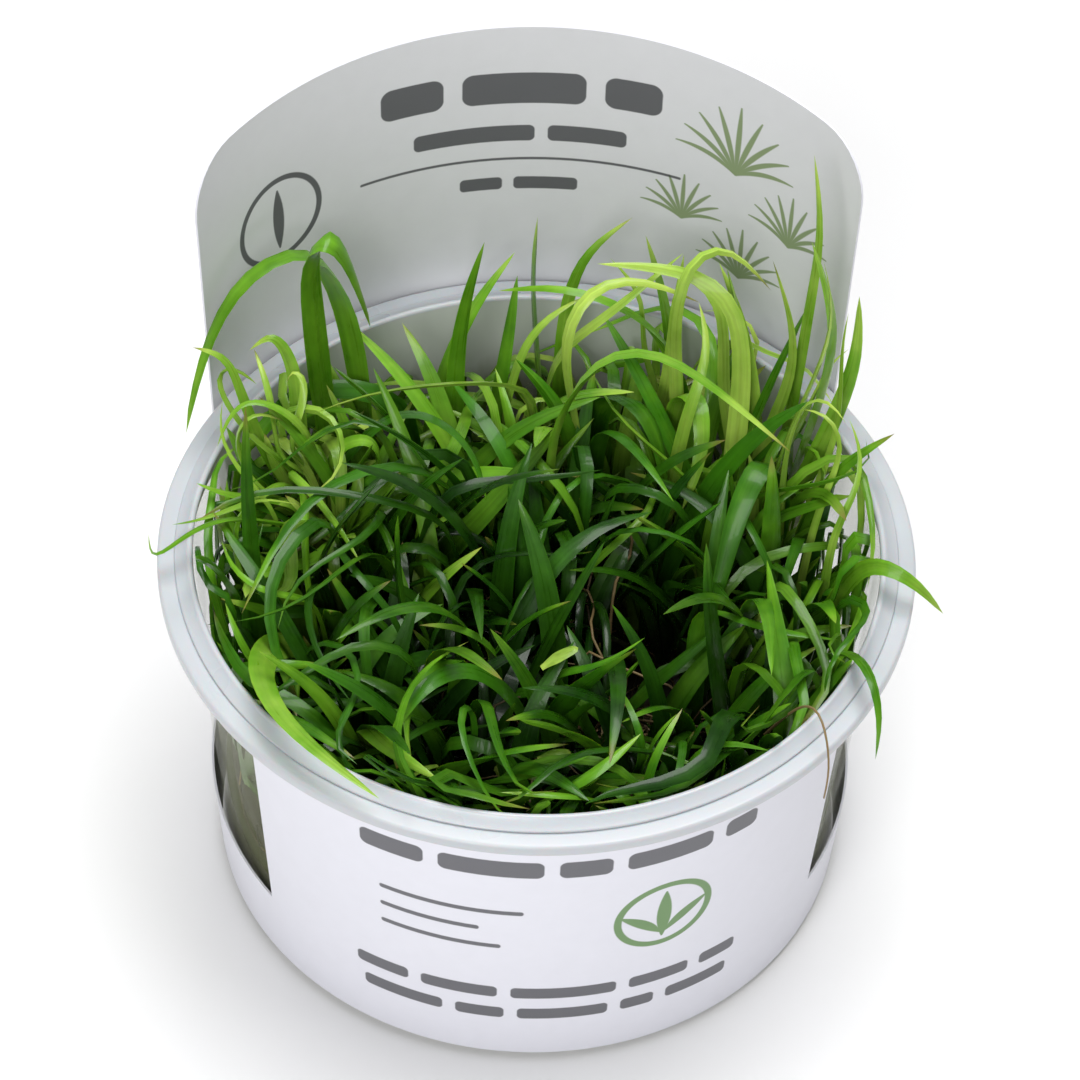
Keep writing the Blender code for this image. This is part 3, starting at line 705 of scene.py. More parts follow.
def bend_card(card):
    """Sheet of the card: a ring raised to the band, then each panel raised from its part of it."""
    rows = {"panel": 14, "header": 34}
    low = card.band_top
    columns = card_columns()
    bm = bmesh.new()
    foot = [bm.verts.new(polar(CARD_RADII["foot"], column[0], card.foot)) for column in columns]
    edges = [bm.edges.new(pair) for pair in zip(foot, foot[1:] + foot[:1])]
    column_of = dict(zip(foot, columns))
    for row in range(1, 5):
        height = card.foot + (low - card.foot) * row / 4
        edges, column_of = raise_edges(bm, card, edges, column_of, lambda column: height)
    for carries, count in rows.items():
        row_of = {vert: column for vert, column in column_of.items() if column[2] == carries}
        row_edges = [edge for edge in edges if all(vert in row_of for vert in edge.verts)]
        for row in range(1, count + 1):
            row_edges, row_of = raise_edges(
                bm, card, row_edges, row_of,
                lambda column: low + (card_top(card, column[1], carries) - low) * row / count)
    return bm


def map_card(bm):
    """Give the card its map: arc length from its panel's middle, and height, shifted on the back."""
    layer = bm.loops.layers.uv.new("card")
    for face in bm.faces:
        middle = face.calc_center_median()
        back = middle.y > 0.0
        outside = face.normal.xy.dot(middle.xy) > 0.0
        shift = BACK_SHIFT if back and outside else 0.0
        for loop in face.loops:
            x, y, z = loop.vert.co
            if back:
                loop[layer].uv = (math.atan2(x, y) * CARD_RADII["header"], z + shift)
            else:
                loop[layer].uv = (math.atan2(x, -y) * CARD_RADII["panel"], z)
        face.material_index = 0 if outside else 1


class CUP_OT_card(bpy.types.Operator):
    """Printed card sleeve with its band, front panel and header"""

    bl_idname = "culture_cup.card"
    bl_label = "Card sleeve"

    def execute(self, context):
        """Bend the card, give it its thickness and print it."""
        card = context.scene.culture_card
        bm = bend_card(card)
        bmesh.ops.recalc_face_normals(bm, faces=bm.faces[:])
        first = bm.faces[:][0]
        if first.normal.dot(first.calc_center_median()) < 0.0:
            bmesh.ops.reverse_faces(bm, faces=bm.faces[:])
        bmesh.ops.solidify(bm, geom=bm.faces[:], thickness=-card.thickness)
        bmesh.ops.recalc_face_normals(bm, faces=bm.faces[:])
        map_card(bm)
        finishes = [card_finish(card, side) for side in ("outside", "inside")]
        add_piece("printed_card_sleeve", bm, finishes, ["card_sleeve"], sharp=50.0)
        return {"FINISHED"}


# Gel and roots

class CUP_OT_gel(bpy.types.Operator):
    """Slab of gel in the bottom of the cup"""

    bl_idname = "culture_cup.gel"
    bl_label = "Nutrient gel"

    def execute(self, context):
        """Turn the slab with its raised edge against the wall and make its top uneven."""
        plants = context.scene.culture_plants
        low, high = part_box("nutrient_gel")
        corner = 2.6 * MM
        radius = high.x
        points = [(0.0, low.z)] + arc(radius - 1.9 * MM - corner, low.z + corner, corner, -90, 0, 6)
        points += [(radius, high.z), (radius - 1.0 * MM, high.z - 0.35 * MM)]
        points += [(radius * share, high.z - 0.5 * MM) for share in (0.93, 0.8, 0.6, 0.4, 0.2, 0.0)]
        bm = spin_profile(points, 72)
        rng = random.Random(5)
        for vert in bm.verts:
            if vert.co.xy.length < radius * 0.92 and vert.co.z > high.z - 0.8 * MM:
                vert.co.z += rng.uniform(-0.25, 0.05) * MM
        add_piece("gel_slab", bm, [gel_finish(plants.gel_olive)], ["nutrient_gel"])
        return {"FINISHED"}


def tube(points, radii, sides=5):
    """Mesh of a closed tube along points, as one ring extruded from point to point."""
    bm = bmesh.new()
    side = Vector((1.0, 0.0, 0.0))
    circle = bmesh.ops.create_circle(bm, segments=sides, radius=1.0, cap_ends=True)
    face = circle["verts"][0].link_faces[0]
    flat = [vert.co.copy() for vert in face.verts]
    for i, point in enumerate(points):
        direction = (points[min(i + 1, len(points) - 1)] - points[max(i - 1, 0)]).normalized()
        side = (side - direction * side.dot(direction)).normalized()
        turn = Matrix((side, direction.cross(side), direction)).transposed()
        if i > 0:
            face = bmesh.ops.extrude_discrete_faces(bm, faces=[face])["faces"][0]
        for vert, corner in zip(face.verts, flat):
            vert.co = point + turn @ (corner * radii[i])
    bmesh.ops.recalc_face_normals(bm, faces=bm.faces[:])
    mesh = bpy.data.meshes.new("tube")
    bm.to_mesh(mesh)
    bm.free()
    return mesh


def lay_tube(bm, points, radii, tone_layer, tone, sides=5):
    """Add a tube of one tone to a bmesh."""
    mesh = tube(points, radii, sides)
    start = len(bm.verts)
    bm.from_mesh(mesh)
    bpy.data.meshes.remove(mesh)
    bm.verts.ensure_lookup_table()
    for vert in bm.verts[start:]:
        vert[tone_layer] = (*tone, 1.0)


def root_line(rng, mat_low, mat_high):
    """A meandering line that creeps over the root mat, or down its side."""
    in_hollow = rng.random() < 0.4
    radius = (HOLLOW_RADIUS * 0.8 if in_hollow else mat_high.x - 0.5 * MM) * math.sqrt(rng.random())
    place = polar(radius, rng.uniform(0.0, math.tau), mat_high.z + rng.uniform(-0.6, 0.9) * MM)
    point = place + Vector((*HOLLOW, 0.0)) if in_hollow else place
    heading = rng.uniform(0.0, math.tau)
    points = [point]
    for _ in range(rng.randint(8, 14)):
        heading += rng.uniform(-0.7, 0.7)
        step = Vector((math.cos(heading), math.sin(heading), rng.uniform(-0.35, 0.35))) * 1.7 * MM
        point = point + step
        if point.xy.length > mat_high.x:
            point = Vector((*(point.xy.normalized() * mat_high.x), point.z - 1.3 * MM))
        point.z = min(max(point.z, mat_low.z + 1.0 * MM), mat_high.z + 1.4 * MM)
        points.append(point)
    return points


# The root that hangs over the rim: its points, in mm
LONG_ROOT = ((29, -24, 44), (32, -29, 56), (34, -33, 60.5), (35, -36.5, 58.5), (35.5, -38.5, 54),
             (35, -39, 49))


def arching_root(rng, ground):
    """A line that rises from the mat into the hollow of the tuft, winds about and comes down again."""
    heading = rng.uniform(0.0, math.tau)
    height = rng.uniform(30.0, 43.0)
    point = HOLLOW + Vector((rng.uniform(-9.0, 7.0), rng.uniform(-5.0, 10.0))) * MM
    points = [Vector((*point, ground))]
    for _ in range(6):
        heading += rng.uniform(-0.9, 0.9)
        point = point + Vector((math.cos(heading), math.sin(heading))) * rng.uniform(2.5, 5.0) * MM
        points.append(Vector((*point, (height + rng.uniform(-2.0, 2.0)) * MM)))
    points.append(Vector((*point, ground)))
    return evenly(points, 26)


class CUP_OT_roots(bpy.types.Operator):
    """Root mat with fine roots on it"""

    bl_idname = "culture_cup.roots"
    bl_label = "Roots"

    def execute(self, context):
        """Smooth and roughen a copy of the mat and lay the fine roots over it."""
        plants = context.scene.culture_plants
        low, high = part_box("root_mat")
        rng = random.Random(17)
        bm = bmesh.new()
        bm.from_mesh(frame["nodes"]["root_mat"].data)
        bmesh.ops.remove_doubles(bm, verts=bm.verts[:], dist=0.005 * MM)
        bmesh.ops.subdivide_edges(bm, edges=bm.edges[:], cuts=2, use_grid_fill=True, smooth=0.4)
        for vert in bm.verts:
            if vert.co.z > low.z + 1.0 * MM:
                vert.co.z += rng.uniform(-0.35, 0.3) * MM
        tone_layer = bm.verts.layers.float_color.new("tone")
        for vert in bm.verts:
            vert[tone_layer] = (0.0, 0.0, 0.0, 1.0)
        for _ in range(plants.roots):
            points = root_line(rng, low, high)
            thick = rng.uniform(0.12, 0.3) * MM
            radii = [thick * (1.0 - 0.6 * i / len(points)) for i in range(len(points))]
            pale = rng.random() ** 2
            lay_tube(bm, points, radii, tone_layer, (pale, pale, pale))
        lines = [evenly([Vector(point) * MM for point in LONG_ROOT], 26)]
        lines += [arching_root(rng, high.z - 0.5 * MM) for _ in range(plants.arching_roots)]
        for line in lines:
            if any(in_shaft(point, 0.0) for point in line):
                continue
            thick = rng.uniform(0.15, 0.3) * MM
            radii = [thick * (1.0 - 0.5 * i / len(line)) for i in range(len(line))]
            pale = 0.8 if line is lines[0] else rng.uniform(0.1, 0.6)
            lay_tube(bm, line, radii, tone_layer, (pale, pale, pale))
        add_piece("root_tangle", bm, [root_finish(plants)], ["root_mat"], sharp=80.0)
        return {"FINISHED"}


# Leaves

def blade_template(stations):
    """Straight blade of unit size: x across, y the side of the sheet, z along, closed at both ends."""
    section = ((-1.0, 0.0), (0.0, -1.0), (1.0, 0.0), (0.0, 1.0))
    bm = bmesh.new()
    face = bm.faces.new([bm.verts.new((x, y, 0.0)) for x, y in section])
    for i in range(1, stations):
        face = bmesh.ops.extrude_discrete_faces(bm, faces=[face])["faces"][0]
        for vert in face.verts:
            vert.co.z = i / stations
    face = bmesh.ops.extrude_discrete_faces(bm, faces=[face])["faces"][0]
    bmesh.ops.pointmerge(bm, verts=face.verts[:], merge_co=(0.0, 0.0, 1.0))
    bmesh.ops.recalc_face_normals(bm, faces=bm.faces[:])
    layer = bm.loops.layers.uv.new("blade")
    for face in bm.faces:
        for loop in face.loops:
            loop[layer].uv = (loop.vert.co.x * 0.5 + 0.5, loop.vert.co.z)
    mesh = bpy.data.meshes.new("blade_template")
    bm.to_mesh(mesh)
    bm.free()
    return mesh


def blade_shape(share, taper):
    """Width of a blade as a share of its widest, from a narrow foot to a tip that the taper blunts."""
    rise = min(1.0, share / 0.45)
    return (0.5 + 0.5 * rise * rise * (3.0 - 2.0 * rise)) * (1.0 - share ** taper) ** 0.72


def face_up(middles, side, twist):
    """Cross directions along a blade that turns its upper side up where it lies down, plus a twist."""
    sides = []
    last = len(middles) - 1
    for i in range(last + 1):
        forward = (middles[min(i + 1, last)] - middles[max(i - 1, 0)]).normalized()
        side = (side - forward * side.dot(forward)).normalized()
        level = UP.cross(forward)
        if level.length > 0.05:
            weight = 0.6 * level.length_squared
            level.normalize()
            turned = level * (weight if level.dot(side) > 0.0 else -weight)
            side = (side * (1.0 - weight) + turned).normalized()
        sides.append(Matrix.Rotation(twist * i / last, 3, forward) @ side)
    return sides


def evenly(points, count):
    """Evenly spaced points along the rounded line through a row of points."""
    dense = [along(points, i / 80.0) for i in range(81)]
    lengths = [0.0]
    for a, b in zip(dense, dense[1:]):
        lengths.append(lengths[-1] + (b - a).length)
    spaced, place = [], 0
    for i in range(count):
        wanted = lengths[-1] * i / (count - 1)
        while place < len(dense) - 2 and lengths[place + 1] < wanted:
            place += 1
        part = (wanted - lengths[place]) / max(lengths[place + 1] - lengths[place], 1e-9)
        spaced.append(dense[place].lerp(dense[place + 1], min(part, 1.0)))
    return spaced


class Leaf:
    """A blade's rows of evenly spaced middles and cross directions from foot to tip, with its shape."""

    def __init__(self, middles, sides, width, taper, fold, end=1.0):
        self.middles = middles
        self.sides = sides
        self.width = width
        self.taper = taper
        self.fold = fold
        self.end = end
        self.fine = False
        self.tone = None

    def half_width(self, share):
        """Half of the blade's width at a share of its length."""
        return 0.5 * self.width * blade_shape(share * self.end, self.taper)

    def station(self, share):
        """Middle, cross direction, upper direction and half width at a share of the length."""
        step = 0.01
        forward = (along(self.middles, share + step) - along(self.middles, share - step)).normalized()
        side = along(self.sides, share)
        side = (side - forward * side.dot(forward)).normalized()
        return along(self.middles, share), side, forward.cross(side), self.half_width(share)

    def skin(self, grow, skip=0):
        """Search tree of a rough three-cornered skin round the leaf, slimmer in its lower half."""
        points = []
        last = len(self.middles) - 1
        for i in range(skip, last):
            middle, side = self.middles[i], self.sides[i]
            top = (self.middles[i + 1] - self.middles[max(i - 1, 0)]).cross(side).normalized()
            half = self.half_width(i / last) * (1.0 if 2 * i > last else SLIM_LOWER_PART) + grow
            points += [middle - side * half + top * grow, middle + side * half + top * grow,
                       middle - top * (0.3 * half + grow)]
        points.append(self.middles[-1])
        faces = []
        for a in range(0, len(points) - 4, 3):
            faces += [(a + k, a + (k + 1) % 3, a + 3 + (k + 1) % 3) for k in range(3)]
            faces += [(a + k, a + 3 + (k + 1) % 3, a + 3 + k) for k in range(3)]
        end = len(points) - 1
        faces += [(end - 3 + k, end - 3 + (k + 1) % 3, end) for k in range(3)]
        return BVHTree.FromPolygons(points, faces)


def lay_blade(bm, template, leaf, tone_layer):
    """Add one blade, bent from the template along its leaf."""
    start = len(bm.verts)
    bm.from_mesh(template)
    bm.verts.ensure_lookup_table()
    rows = {}
    for vert in bm.verts[start:]:
        x, y, z = vert.co
        if z not in rows:
            rows[z] = leaf.station(z)
        middle, side, top, half = rows[z]
        fold = leaf.fold * half * (x * x - 1.0)
        skin = y * (BLADE_HALF_THICKNESS if y > 0.0 else BLADE_HALF_THICKNESS + BLADE_KEEL * half)
        vert.co = middle + side * (x * half) + top * (fold + skin * min(1.0, half / BLADE_THIN_PART))
        vert[tone_layer] = (*leaf.tone, 1.0)


def merged_copy(name):
    """Bmesh of a node's solid with its loose triangles joined."""
    bm = bmesh.new()
    bm.from_mesh(frame["nodes"][name].data)
    bmesh.ops.remove_doubles(bm, verts=bm.verts[:], dist=0.005 * MM)
    return bm


def ring_of_blade(corners):
    """Middle, cross direction and upper direction of one three-cornered ring of a solid leaf."""
    pairs = ((0, 1, 2), (1, 2, 0), (2, 0, 1))
    a, b, keel = max(pairs, key=lambda pair: (corners[pair[0]] - corners[pair[1]]).length)
    middle = (corners[a] + corners[b]) / 2.0
    return middle, corners[b] - corners[a], middle - corners[keel]


def solid_leaves(name, plants, rng):
    """Leaves of a plantlet's solid, with the foot and the top of its crown."""
    bm = merged_copy(name)
    bottom = min(bm.verts, key=lambda vert: vert.co.z)
    around = {edge.other_vert(bottom) for edge in bottom.link_edges}
    leaves = []
    for tip in [vert for vert in bm.verts if len(vert.link_edges) == 3 and vert not in around]:
        seen, layer, rings = {tip}, [tip], []
        while True:
            layer = list({edge.other_vert(vert) for vert in layer for edge in vert.link_edges} - seen)
            if bottom in layer or len(layer) != 3:
                break
            seen.update(layer)
            rings.append(ring_of_blade([vert.co.copy() for vert in layer]))
        rings.reverse()
        middles = [ring[0] for ring in rings] + [tip.co.copy()]
        _, cross, top = rings[0]
        if (middles[1] - middles[0]).cross(cross).dot(top) < 0.0:
            cross = -cross
        width = max(ring[1].length for ring in rings) * plants.broader * PLANTLET_BROADER.get(name, 1.0)
        twist = math.radians(rng.uniform(-20.0, 20.0))
        leaves.append(Leaf(middles, face_up(middles, cross.normalized(), twist), width,
                           rng.uniform(2.4, 4.5), rng.uniform(*BLADE_FOLD)))
        leaves[-1].fine = True
    foot = bottom.co.copy()
    crown_top = min(leaf.middles[0].z for leaf in leaves) - 1.2 * MM
    bm.free()
    return foot, crown_top, leaves


def inner_wall(cup, z):
    """Inner radius of the cup's wall at a height."""
    slope = (cup.wall_top_radius - cup.base_radius) / cup.rim_height
    return cup.base_radius + slope * z - cup.wall


def eased(value, low, high):
    """Smooth step from 0 to 1 between two values."""
    share = min(1.0, max(0.0, (value - low) / (high - low)))
    return share * share * (3.0 - 2.0 * share)


def canopy_height(point):
    """Most height of young leaves: at the rim in front, lower by the back wall and in the hollow."""
    from_hollow = ((point.xy - HOLLOW).length / HOLLOW_RADIUS) ** 2
    swell = 5.0 * math.exp(-((point.y - 12.0 * MM) / (14.0 * MM)) ** 2)
    back_wall = 9.0 * eased(point.y, 22.0 * MM, 38.0 * MM) * (1.0 - eased(point.x, 8.0 * MM, 24.0 * MM))
    return (57.5 + swell - back_wall - 21.0 * math.exp(-from_hollow)) * MM


def young_line(rng, shoot, kind, cup):
    """Middle line of a leaf that rises from a shoot, bends over and winds on, inside the wall."""
    turn = rng.uniform(0.0, math.tau)
    if shoot.xy.length > OUTER_SHOOT and rng.random() < kind.outward:
        turn = math.atan2(shoot.y, shoot.x) + math.radians(rng.uniform(-75.0, 75.0))
    heading = Vector((math.cos(turn), math.sin(turn), 0.0))
    lean_start, lean_end = rng.uniform(*kind.lean_start), rng.uniform(*kind.lean)
    level = canopy_height(shoot + heading * 8.0 * MM) - rng.uniform(*kind.depth) * MM
    rise = max(4.0 * MM, level - shoot.z) / math.cos(math.radians(lean_start))
    length = rise + rng.uniform(*kind.reach) * MM
    bend, spread = rise / length, rng.uniform(*kind.spread) * MM / length
    swing, wave = rng.uniform(-90.0, 90.0), rng.uniform(*kind.wave)
    waves, phase = rng.uniform(0.5, 1.4) * math.tau, rng.uniform(0.0, math.tau)
    middles = [shoot + heading * 1.0 * MM]
    for i in range(YOUNG_STEPS):
        share = (i + 0.5) / YOUNG_STEPS
        bent = eased(share, bend - spread, bend + spread)
        ripple = wave * math.sin(waves * share + phase) * (0.25 + 0.75 * bent)
        lean = math.radians(lean_start + (lean_end - lean_start) * bent + 0.5 * ripple)
        level_heading = Matrix.Rotation(math.radians(swing * share + ripple), 3, "Z") @ heading
        step = level_heading * math.sin(lean) + UP * math.cos(lean)
        point = middles[-1] + step * (length / YOUNG_STEPS)
        reach = PLANT_REACH
        if point.z < cup.rim_height + WALL_MARGIN:
            reach = inner_wall(cup, point.z) - WALL_MARGIN
        if point.xy.length > reach:
            outward = Vector((*point.xy.normalized(), 0.0))
            step -= outward * step.dot(outward)
            point = middles[-1] + step.normalized() * (length / YOUNG_STEPS)
            point.xy = point.xy.normalized() * min(reach, point.xy.length)
        middles.append(point)
    return middles, heading


def picked_line(rng, shoot, points, slack):
    """Middle line of a leaf that rises from a shoot and runs through points, each moved a little."""
    moved = [Vector(point) * MM + Vector([rng.gauss(0.0, slack) for _ in range(3)]) for point in points]
    away = moved[0] - shoot
    low = shoot + Vector((away.x * 0.15, away.y * 0.15, away.z * 0.35))
    high = shoot + Vector((away.x * 0.5, away.y * 0.5, away.z * 0.75))
    return evenly([shoot, low, high, *moved], YOUNG_STEPS + 1), away.normalized()


def cell(point, size):
    """Cell of space that holds a point."""
    return tuple(int(value // size) for value in point)


def in_shaft(point, margin):
    """Whether a point stands in the open shaft between the plantlets, or near it."""
    low, high = frame["record"]["physics"]["openings"][0]["box_m"]
    return all(a - margin < value < b + margin for a, value, b in zip(low, point, high))


class Thicket:
    """All that a new leaf has to keep clear of, sorted into cells of space to be found quickly."""

    def __init__(self):
        self.solids = []
        self.skins = []
        self.near = defaultdict(set)
        self.middles = set()

    def add_solid(self, name):
        """Add a solid that is always tested."""
        bm = merged_copy(name)
        self.solids.append(BVHTree.FromBMesh(bm))
        bm.free()

    def add_leaf(self, leaf, owner):
        """Add a leaf."""
        for point in leaf.middles:
            for corner in range(8):
                offset = Vector([NEAR if corner >> i & 1 else -NEAR for i in range(3)])
                self.near[cell(point + offset, 2.0 * NEAR)].add(len(self.skins))
        self.skins.append((leaf.skin(0.0), owner))
        self.middles |= self.middle_cells(leaf.middles)

    @staticmethod
    def middle_cells(middles):
        """Small cells that a middle line passes through, past its foot."""
        beads = middles[3:] + [(a + b) / 2.0 for a, b in zip(middles[2:], middles[3:])]
        return {cell(bead, MIDDLE_CELL) for bead in beads}

    def free(self, middles):
        """Quick test of a middle line: out of the shaft, and off the middle of every other leaf."""
        if any(in_shaft(point, SHAFT_MARGIN) for point in middles):
            return False
        return self.middles.isdisjoint(self.middle_cells(middles))

    def takes(self, leaf, owner):
        """Whether a leaf's skin meets nothing; at its own crown only its upper part counts."""
        whole, upper = leaf.skin(LEAF_GAP), leaf.skin(LEAF_GAP, skip=4)
        if any(whole.overlap(solid) for solid in self.solids):
            return False
        near = set().union(*(self.near.get(cell(point, 2.0 * NEAR), ()) for point in leaf.middles))
        for index in near:
            skin, name = self.skins[index]
            if (upper if name == owner else whole).overlap(skin):
                return False
        return True

    def grow(self, rng, owner, line, width, taper, end):
        """Leaf along a middle line, if there is room for it."""
        middles, heading = line
        if not self.free(middles):
            return None
        across = UP.cross(heading)
        sides = face_up(middles, across.normalized(), math.radians(rng.uniform(-50.0, 50.0)))
        leaf = Leaf(middles, sides, width, taper, rng.uniform(*BLADE_FOLD), end)
        if not self.takes(leaf, owner):
            return None
        self.add_leaf(leaf, owner)
        return leaf


# Kinds of young leaf: share that heads for the wall, height over the top of the tuft that it may
# reach, and as ranges how far under the top it bends over, how far it reaches past the bend and how
# far the bend spreads, all in mm, its leans at foot and tip and how it waves, in degrees, its width
# as a share of the usual one, and how blunt it is
LeafKind = namedtuple("LeafKind", "setting outward over depth reach spread lean_start lean wave "
                                  "width taper")
LEAF_KINDS = (
    LeafKind("winding", 0.6, 6.0, (-2.0, 8.0), (20.0, 42.0), (9.0, 22.0), (3.0, 24.0),
             (95.0, 260.0), (20.0, 75.0), (0.38, 0.8), (1.7, 2.6)),
    LeafKind("lying", 0.5, 2.0, (-2.0, 12.0), (20.0, 40.0), (4.0, 11.0), (3.0, 28.0),
             (80.0, 122.0), (12.0, 50.0), (0.65, 1.25), (1.8, 3.6)),
    LeafKind("pressed", 1.0, 0.0, (4.0, 28.0), (4.0, 16.0), (4.0, 10.0), (25.0, 65.0),
             (20.0, 110.0), (5.0, 30.0), (0.6, 1.1), (1.9, 3.6)),
    LeafKind("short", 0.4, 0.0, (9.0, 25.0), (4.0, 14.0), (4.0, 10.0), (3.0, 24.0),
             (25.0, 95.0), (5.0, 24.0), (0.6, 1.1), (1.9, 3.4)),
)
YOUNG_STEPS = 14
BLADE_FOLD = (-0.05, 0.3)
BLADE_HALF_THICKNESS = 0.26 * MM
BLADE_KEEL = 0.16
BLADE_THIN_PART = 0.5 * MM
SLIM_LOWER_PART = 0.4
LEAF_GAP = 0.04 * MM
NEAR = 3.0 * MM
MIDDLE_CELL = 1.1 * MM
WALL_MARGIN = 1.5 * MM
SHAFT_MARGIN = 1.0 * MM
PLANT_REACH = 46.3 * MM
OUTER_SHOOT = 24.0 * MM
HOLLOW = Vector((9.0 * MM, -12.0 * MM))
HOLLOW_RADIUS = 15.0 * MM
PICK_TRIES = 60

# How yellow the leaves of a plantlet are, where that differs from most
PLANTLET_YELLOW = {"plantlet_01": 0.55, "plantlet_02": 0.6, "plantlet_04": 0.58, "plantlet_06": 0.34,
                   "plantlet_07": 0.62, "plantlet_08": 0.55, "plantlet_10": 0.55}

# How much broader the leaves of a plantlet are than most
PLANTLET_BROADER = {"plantlet_01": 1.25, "plantlet_02": 0.8, "plantlet_04": 1.25}

# Leaves that stand out: width in mm, how yellow, and points that each passes through, in mm
PICKED_LEAVES = (
    (2.4, 0.85, (19, 26, 72), (22, 30, 82), (28, 33, 78), (33, 30, 72)),
    (3.2, 0.85, (29, 24, 63), (28, 28, 74), (22, 31, 76), (10, 34, 75)),
    (2.8, 0.90, (4, 24, 68), (6, 28, 76), (15, 30, 75), (23, 28, 73)),
    (2.4, 0.75, (23, 18, 63), (25, 24, 69), (22, 28, 73)),
    (1.8, 0.80, (35, 14, 64), (41, 17, 79), (38, 20, 88)),
    (1.7, 0.80, (34, 10, 64), (37, 13, 74), (41, 6, 72)),
    (2.6, 0.60, (3, 16, 66), (10, 20, 74), (20, 19, 73), (34, 8, 64)),
    (2.8, 0.80, (30, 22, 56), (29, 31, 70), (27, 34, 74)),
    (2.2, 0.80, (36, 23, 58), (37, 25, 70), (32, 24, 84)),
    (3.0, 0.85, (31, 20, 56), (29, 27, 68), (25, 29, 74)),
    (1.8, 0.75, (42, 15, 60), (41, 19, 72), (42, 20, 78)),
    (1.6, 0.75, (37, 18, 58), (40, 21, 68), (43, 20, 71)),
    (2.6, 0.80, (5, 32, 60), (10, 31, 68), (21, 34, 74)),
    (1.8, 0.75, (16, 33, 58), (17, 34, 68), (12, 37, 72)),
    (2.8, 0.85, (13, 27, 58), (15, 31, 68), (14, 32, 77)),
    (2.6, 0.80, (19, 29, 58), (20, 32, 68), (21, 33, 76)),
    (2.6, 0.80, (26, 26, 58), (27, 30, 67), (24, 33, 73), (17, 35, 72)),
    (1.4, 0.80, (33, 20, 58), (36, 23, 66), (33, 27, 70), (29, 29, 66)),
    (1.3, 0.75, (39, 8, 56), (42, 10, 62), (40, 12, 68), (36, 14, 66)),
    (1.3, 0.70, (40, 2, 56), (43, 4, 60), (44, 7, 64), (42, 10, 68)),
    (2.4, 0.75, (-2, 30, 56), (1, 32, 65), (8, 33, 69)),
    (1.5, 0.70, (-34, 16, 57), (-38, 17, 60), (-42, 24, 62), (-42, 27, 64), (-39, 26, 65),
     (-36, 23, 64)),
    (1.7, 0.75, (-33, 17, 58), (-31, 19, 62), (-30, 22, 66), (-32, 24, 67), (-33, 22, 65)),
    (1.8, 0.70, (-36, 20, 59), (-30, 20, 63), (-25, 17, 63), (-24, 13, 61), (-26, 11, 58),
     (-30, 9, 56)),
    (1.6, 0.65, (-33, 14, 56), (-39, 9, 58), (-43, 5, 58), (-47, 1, 58)),
    (1.2, 0.60, (-32, 15, 56), (-31, 11, 57), (-28, 4, 57), (-24, -3, 57)),
    (1.7, 0.75, (-34, 15, 58), (-35, 17, 62), (-35, 21, 66), (-36, 27, 68)),
    (1.5, 0.70, (-36, 12, 54), (-40, 14, 62), (-38, 18, 66), (-33, 17, 63)),
    (1.3, 0.70, (-34, 8, 54), (-40, 8, 60), (-42, 11, 65), (-39, 15, 69)),
    (1.6, 0.65, (-30, 14, 56), (-34, 18, 64), (-39, 17, 66), (-42, 13, 62)),
    (1.4, 0.60, (-37, -2, 52), (-41, 2, 58), (-38, 7, 61), (-32, 6, 58)),
    (1.3, 0.55, (-30, -6, 54), (-36, -10, 58), (-41, -6, 59), (-42, 1, 57)),
    (3.2, 0.20, (-18, 3, 52), (-7, 10, 56), (3, 18, 60)),
    (2.8, 0.20, (-24, 18, 56), (-17, 21, 63), (-8, 14, 62), (-6, 6, 58)),
    (3.0, 0.22, (10, 22, 56), (14, 13, 60), (18, 5, 58)),
    (1.6, 0.40, (-19, -41, 54), (-21, -36, 56), (-21, -30, 57), (-18, -23, 57), (-9, -18, 57)),
    (2.6, 0.42, (-35, -5, 50), (-39, -7, 53), (-42, -7, 55)),
    (3.2, 0.30, (-20, -1, 46), (-25, -9, 50), (-29, -14, 51)),
    (3.2, 0.36, (-4, -11, 48), (-10, -11, 52), (-16, -10, 53)),
    (3.8, 0.34, (-15, -34, 50), (-7, -34, 54), (2, -34, 55)),
    (3.2, 0.60, (-24, -25, 50), (-21, -32, 54), (-15, -38, 54)),
    (3.2, 0.30, (-41, -14, 50), (-35, -16, 54), (-28, -18, 53)),
    (3.0, 0.45, (-2, -38, 52), (4, -38, 55), (10, -33, 55)),
    (3.2, 0.28, (3, -22, 46), (7, -21, 50), (13, -15, 52)),
    (2.8, 0.30, (21, -10, 50), (27, -15, 54), (37, -16, 55)),
    (2.4, 0.30, (12, -31, 50), (11, -27, 53), (9, -21, 52)),
    (3.2, 0.34, (12, -38, 48), (13, -35, 53), (17, -29, 56)),
    (3.0, 0.40, (17, -34, 50), (21, -33, 55), (28, -36, 55)),
    (3.8, 0.36, (32, -26, 46), (31, -18, 52), (30, -6, 58)),
    (2.8, 0.30, (2, -20, 48), (-6, -22, 52), (-14, -25, 53)),
    (2.6, 0.30, (-37, -21, 50), (-32, -27, 54), (-26, -34, 54)),
    (2.2, 0.50, (7, -40, 52), (0, -42, 55), (-7, -41, 55)),
    (2.4, 0.35, (12, -31, 40), (13, -29, 50), (17, -28, 54)),
    (3.2, 0.32, (-10, -30, 44), (-4, -34, 50), (3, -36, 52)),
    (2.8, 0.34, (-11, -19, 54), (-19, -25, 55), (-21, -30, 52)),
    (2.6, 0.30, (2, -20, 50), (7, -24, 56), (12, -22, 60)),
    (2.2, 0.45, (-35, -16, 46), (-40, -14, 54), (-42, -10, 57)),
    (2.2, 0.45, (-32, 0, 46), (-38, 0, 54), (-41, 0, 57)),
    (2.2, 0.50, (-31, 7, 46), (-39, 8, 54), (-42, 10, 56)),
)


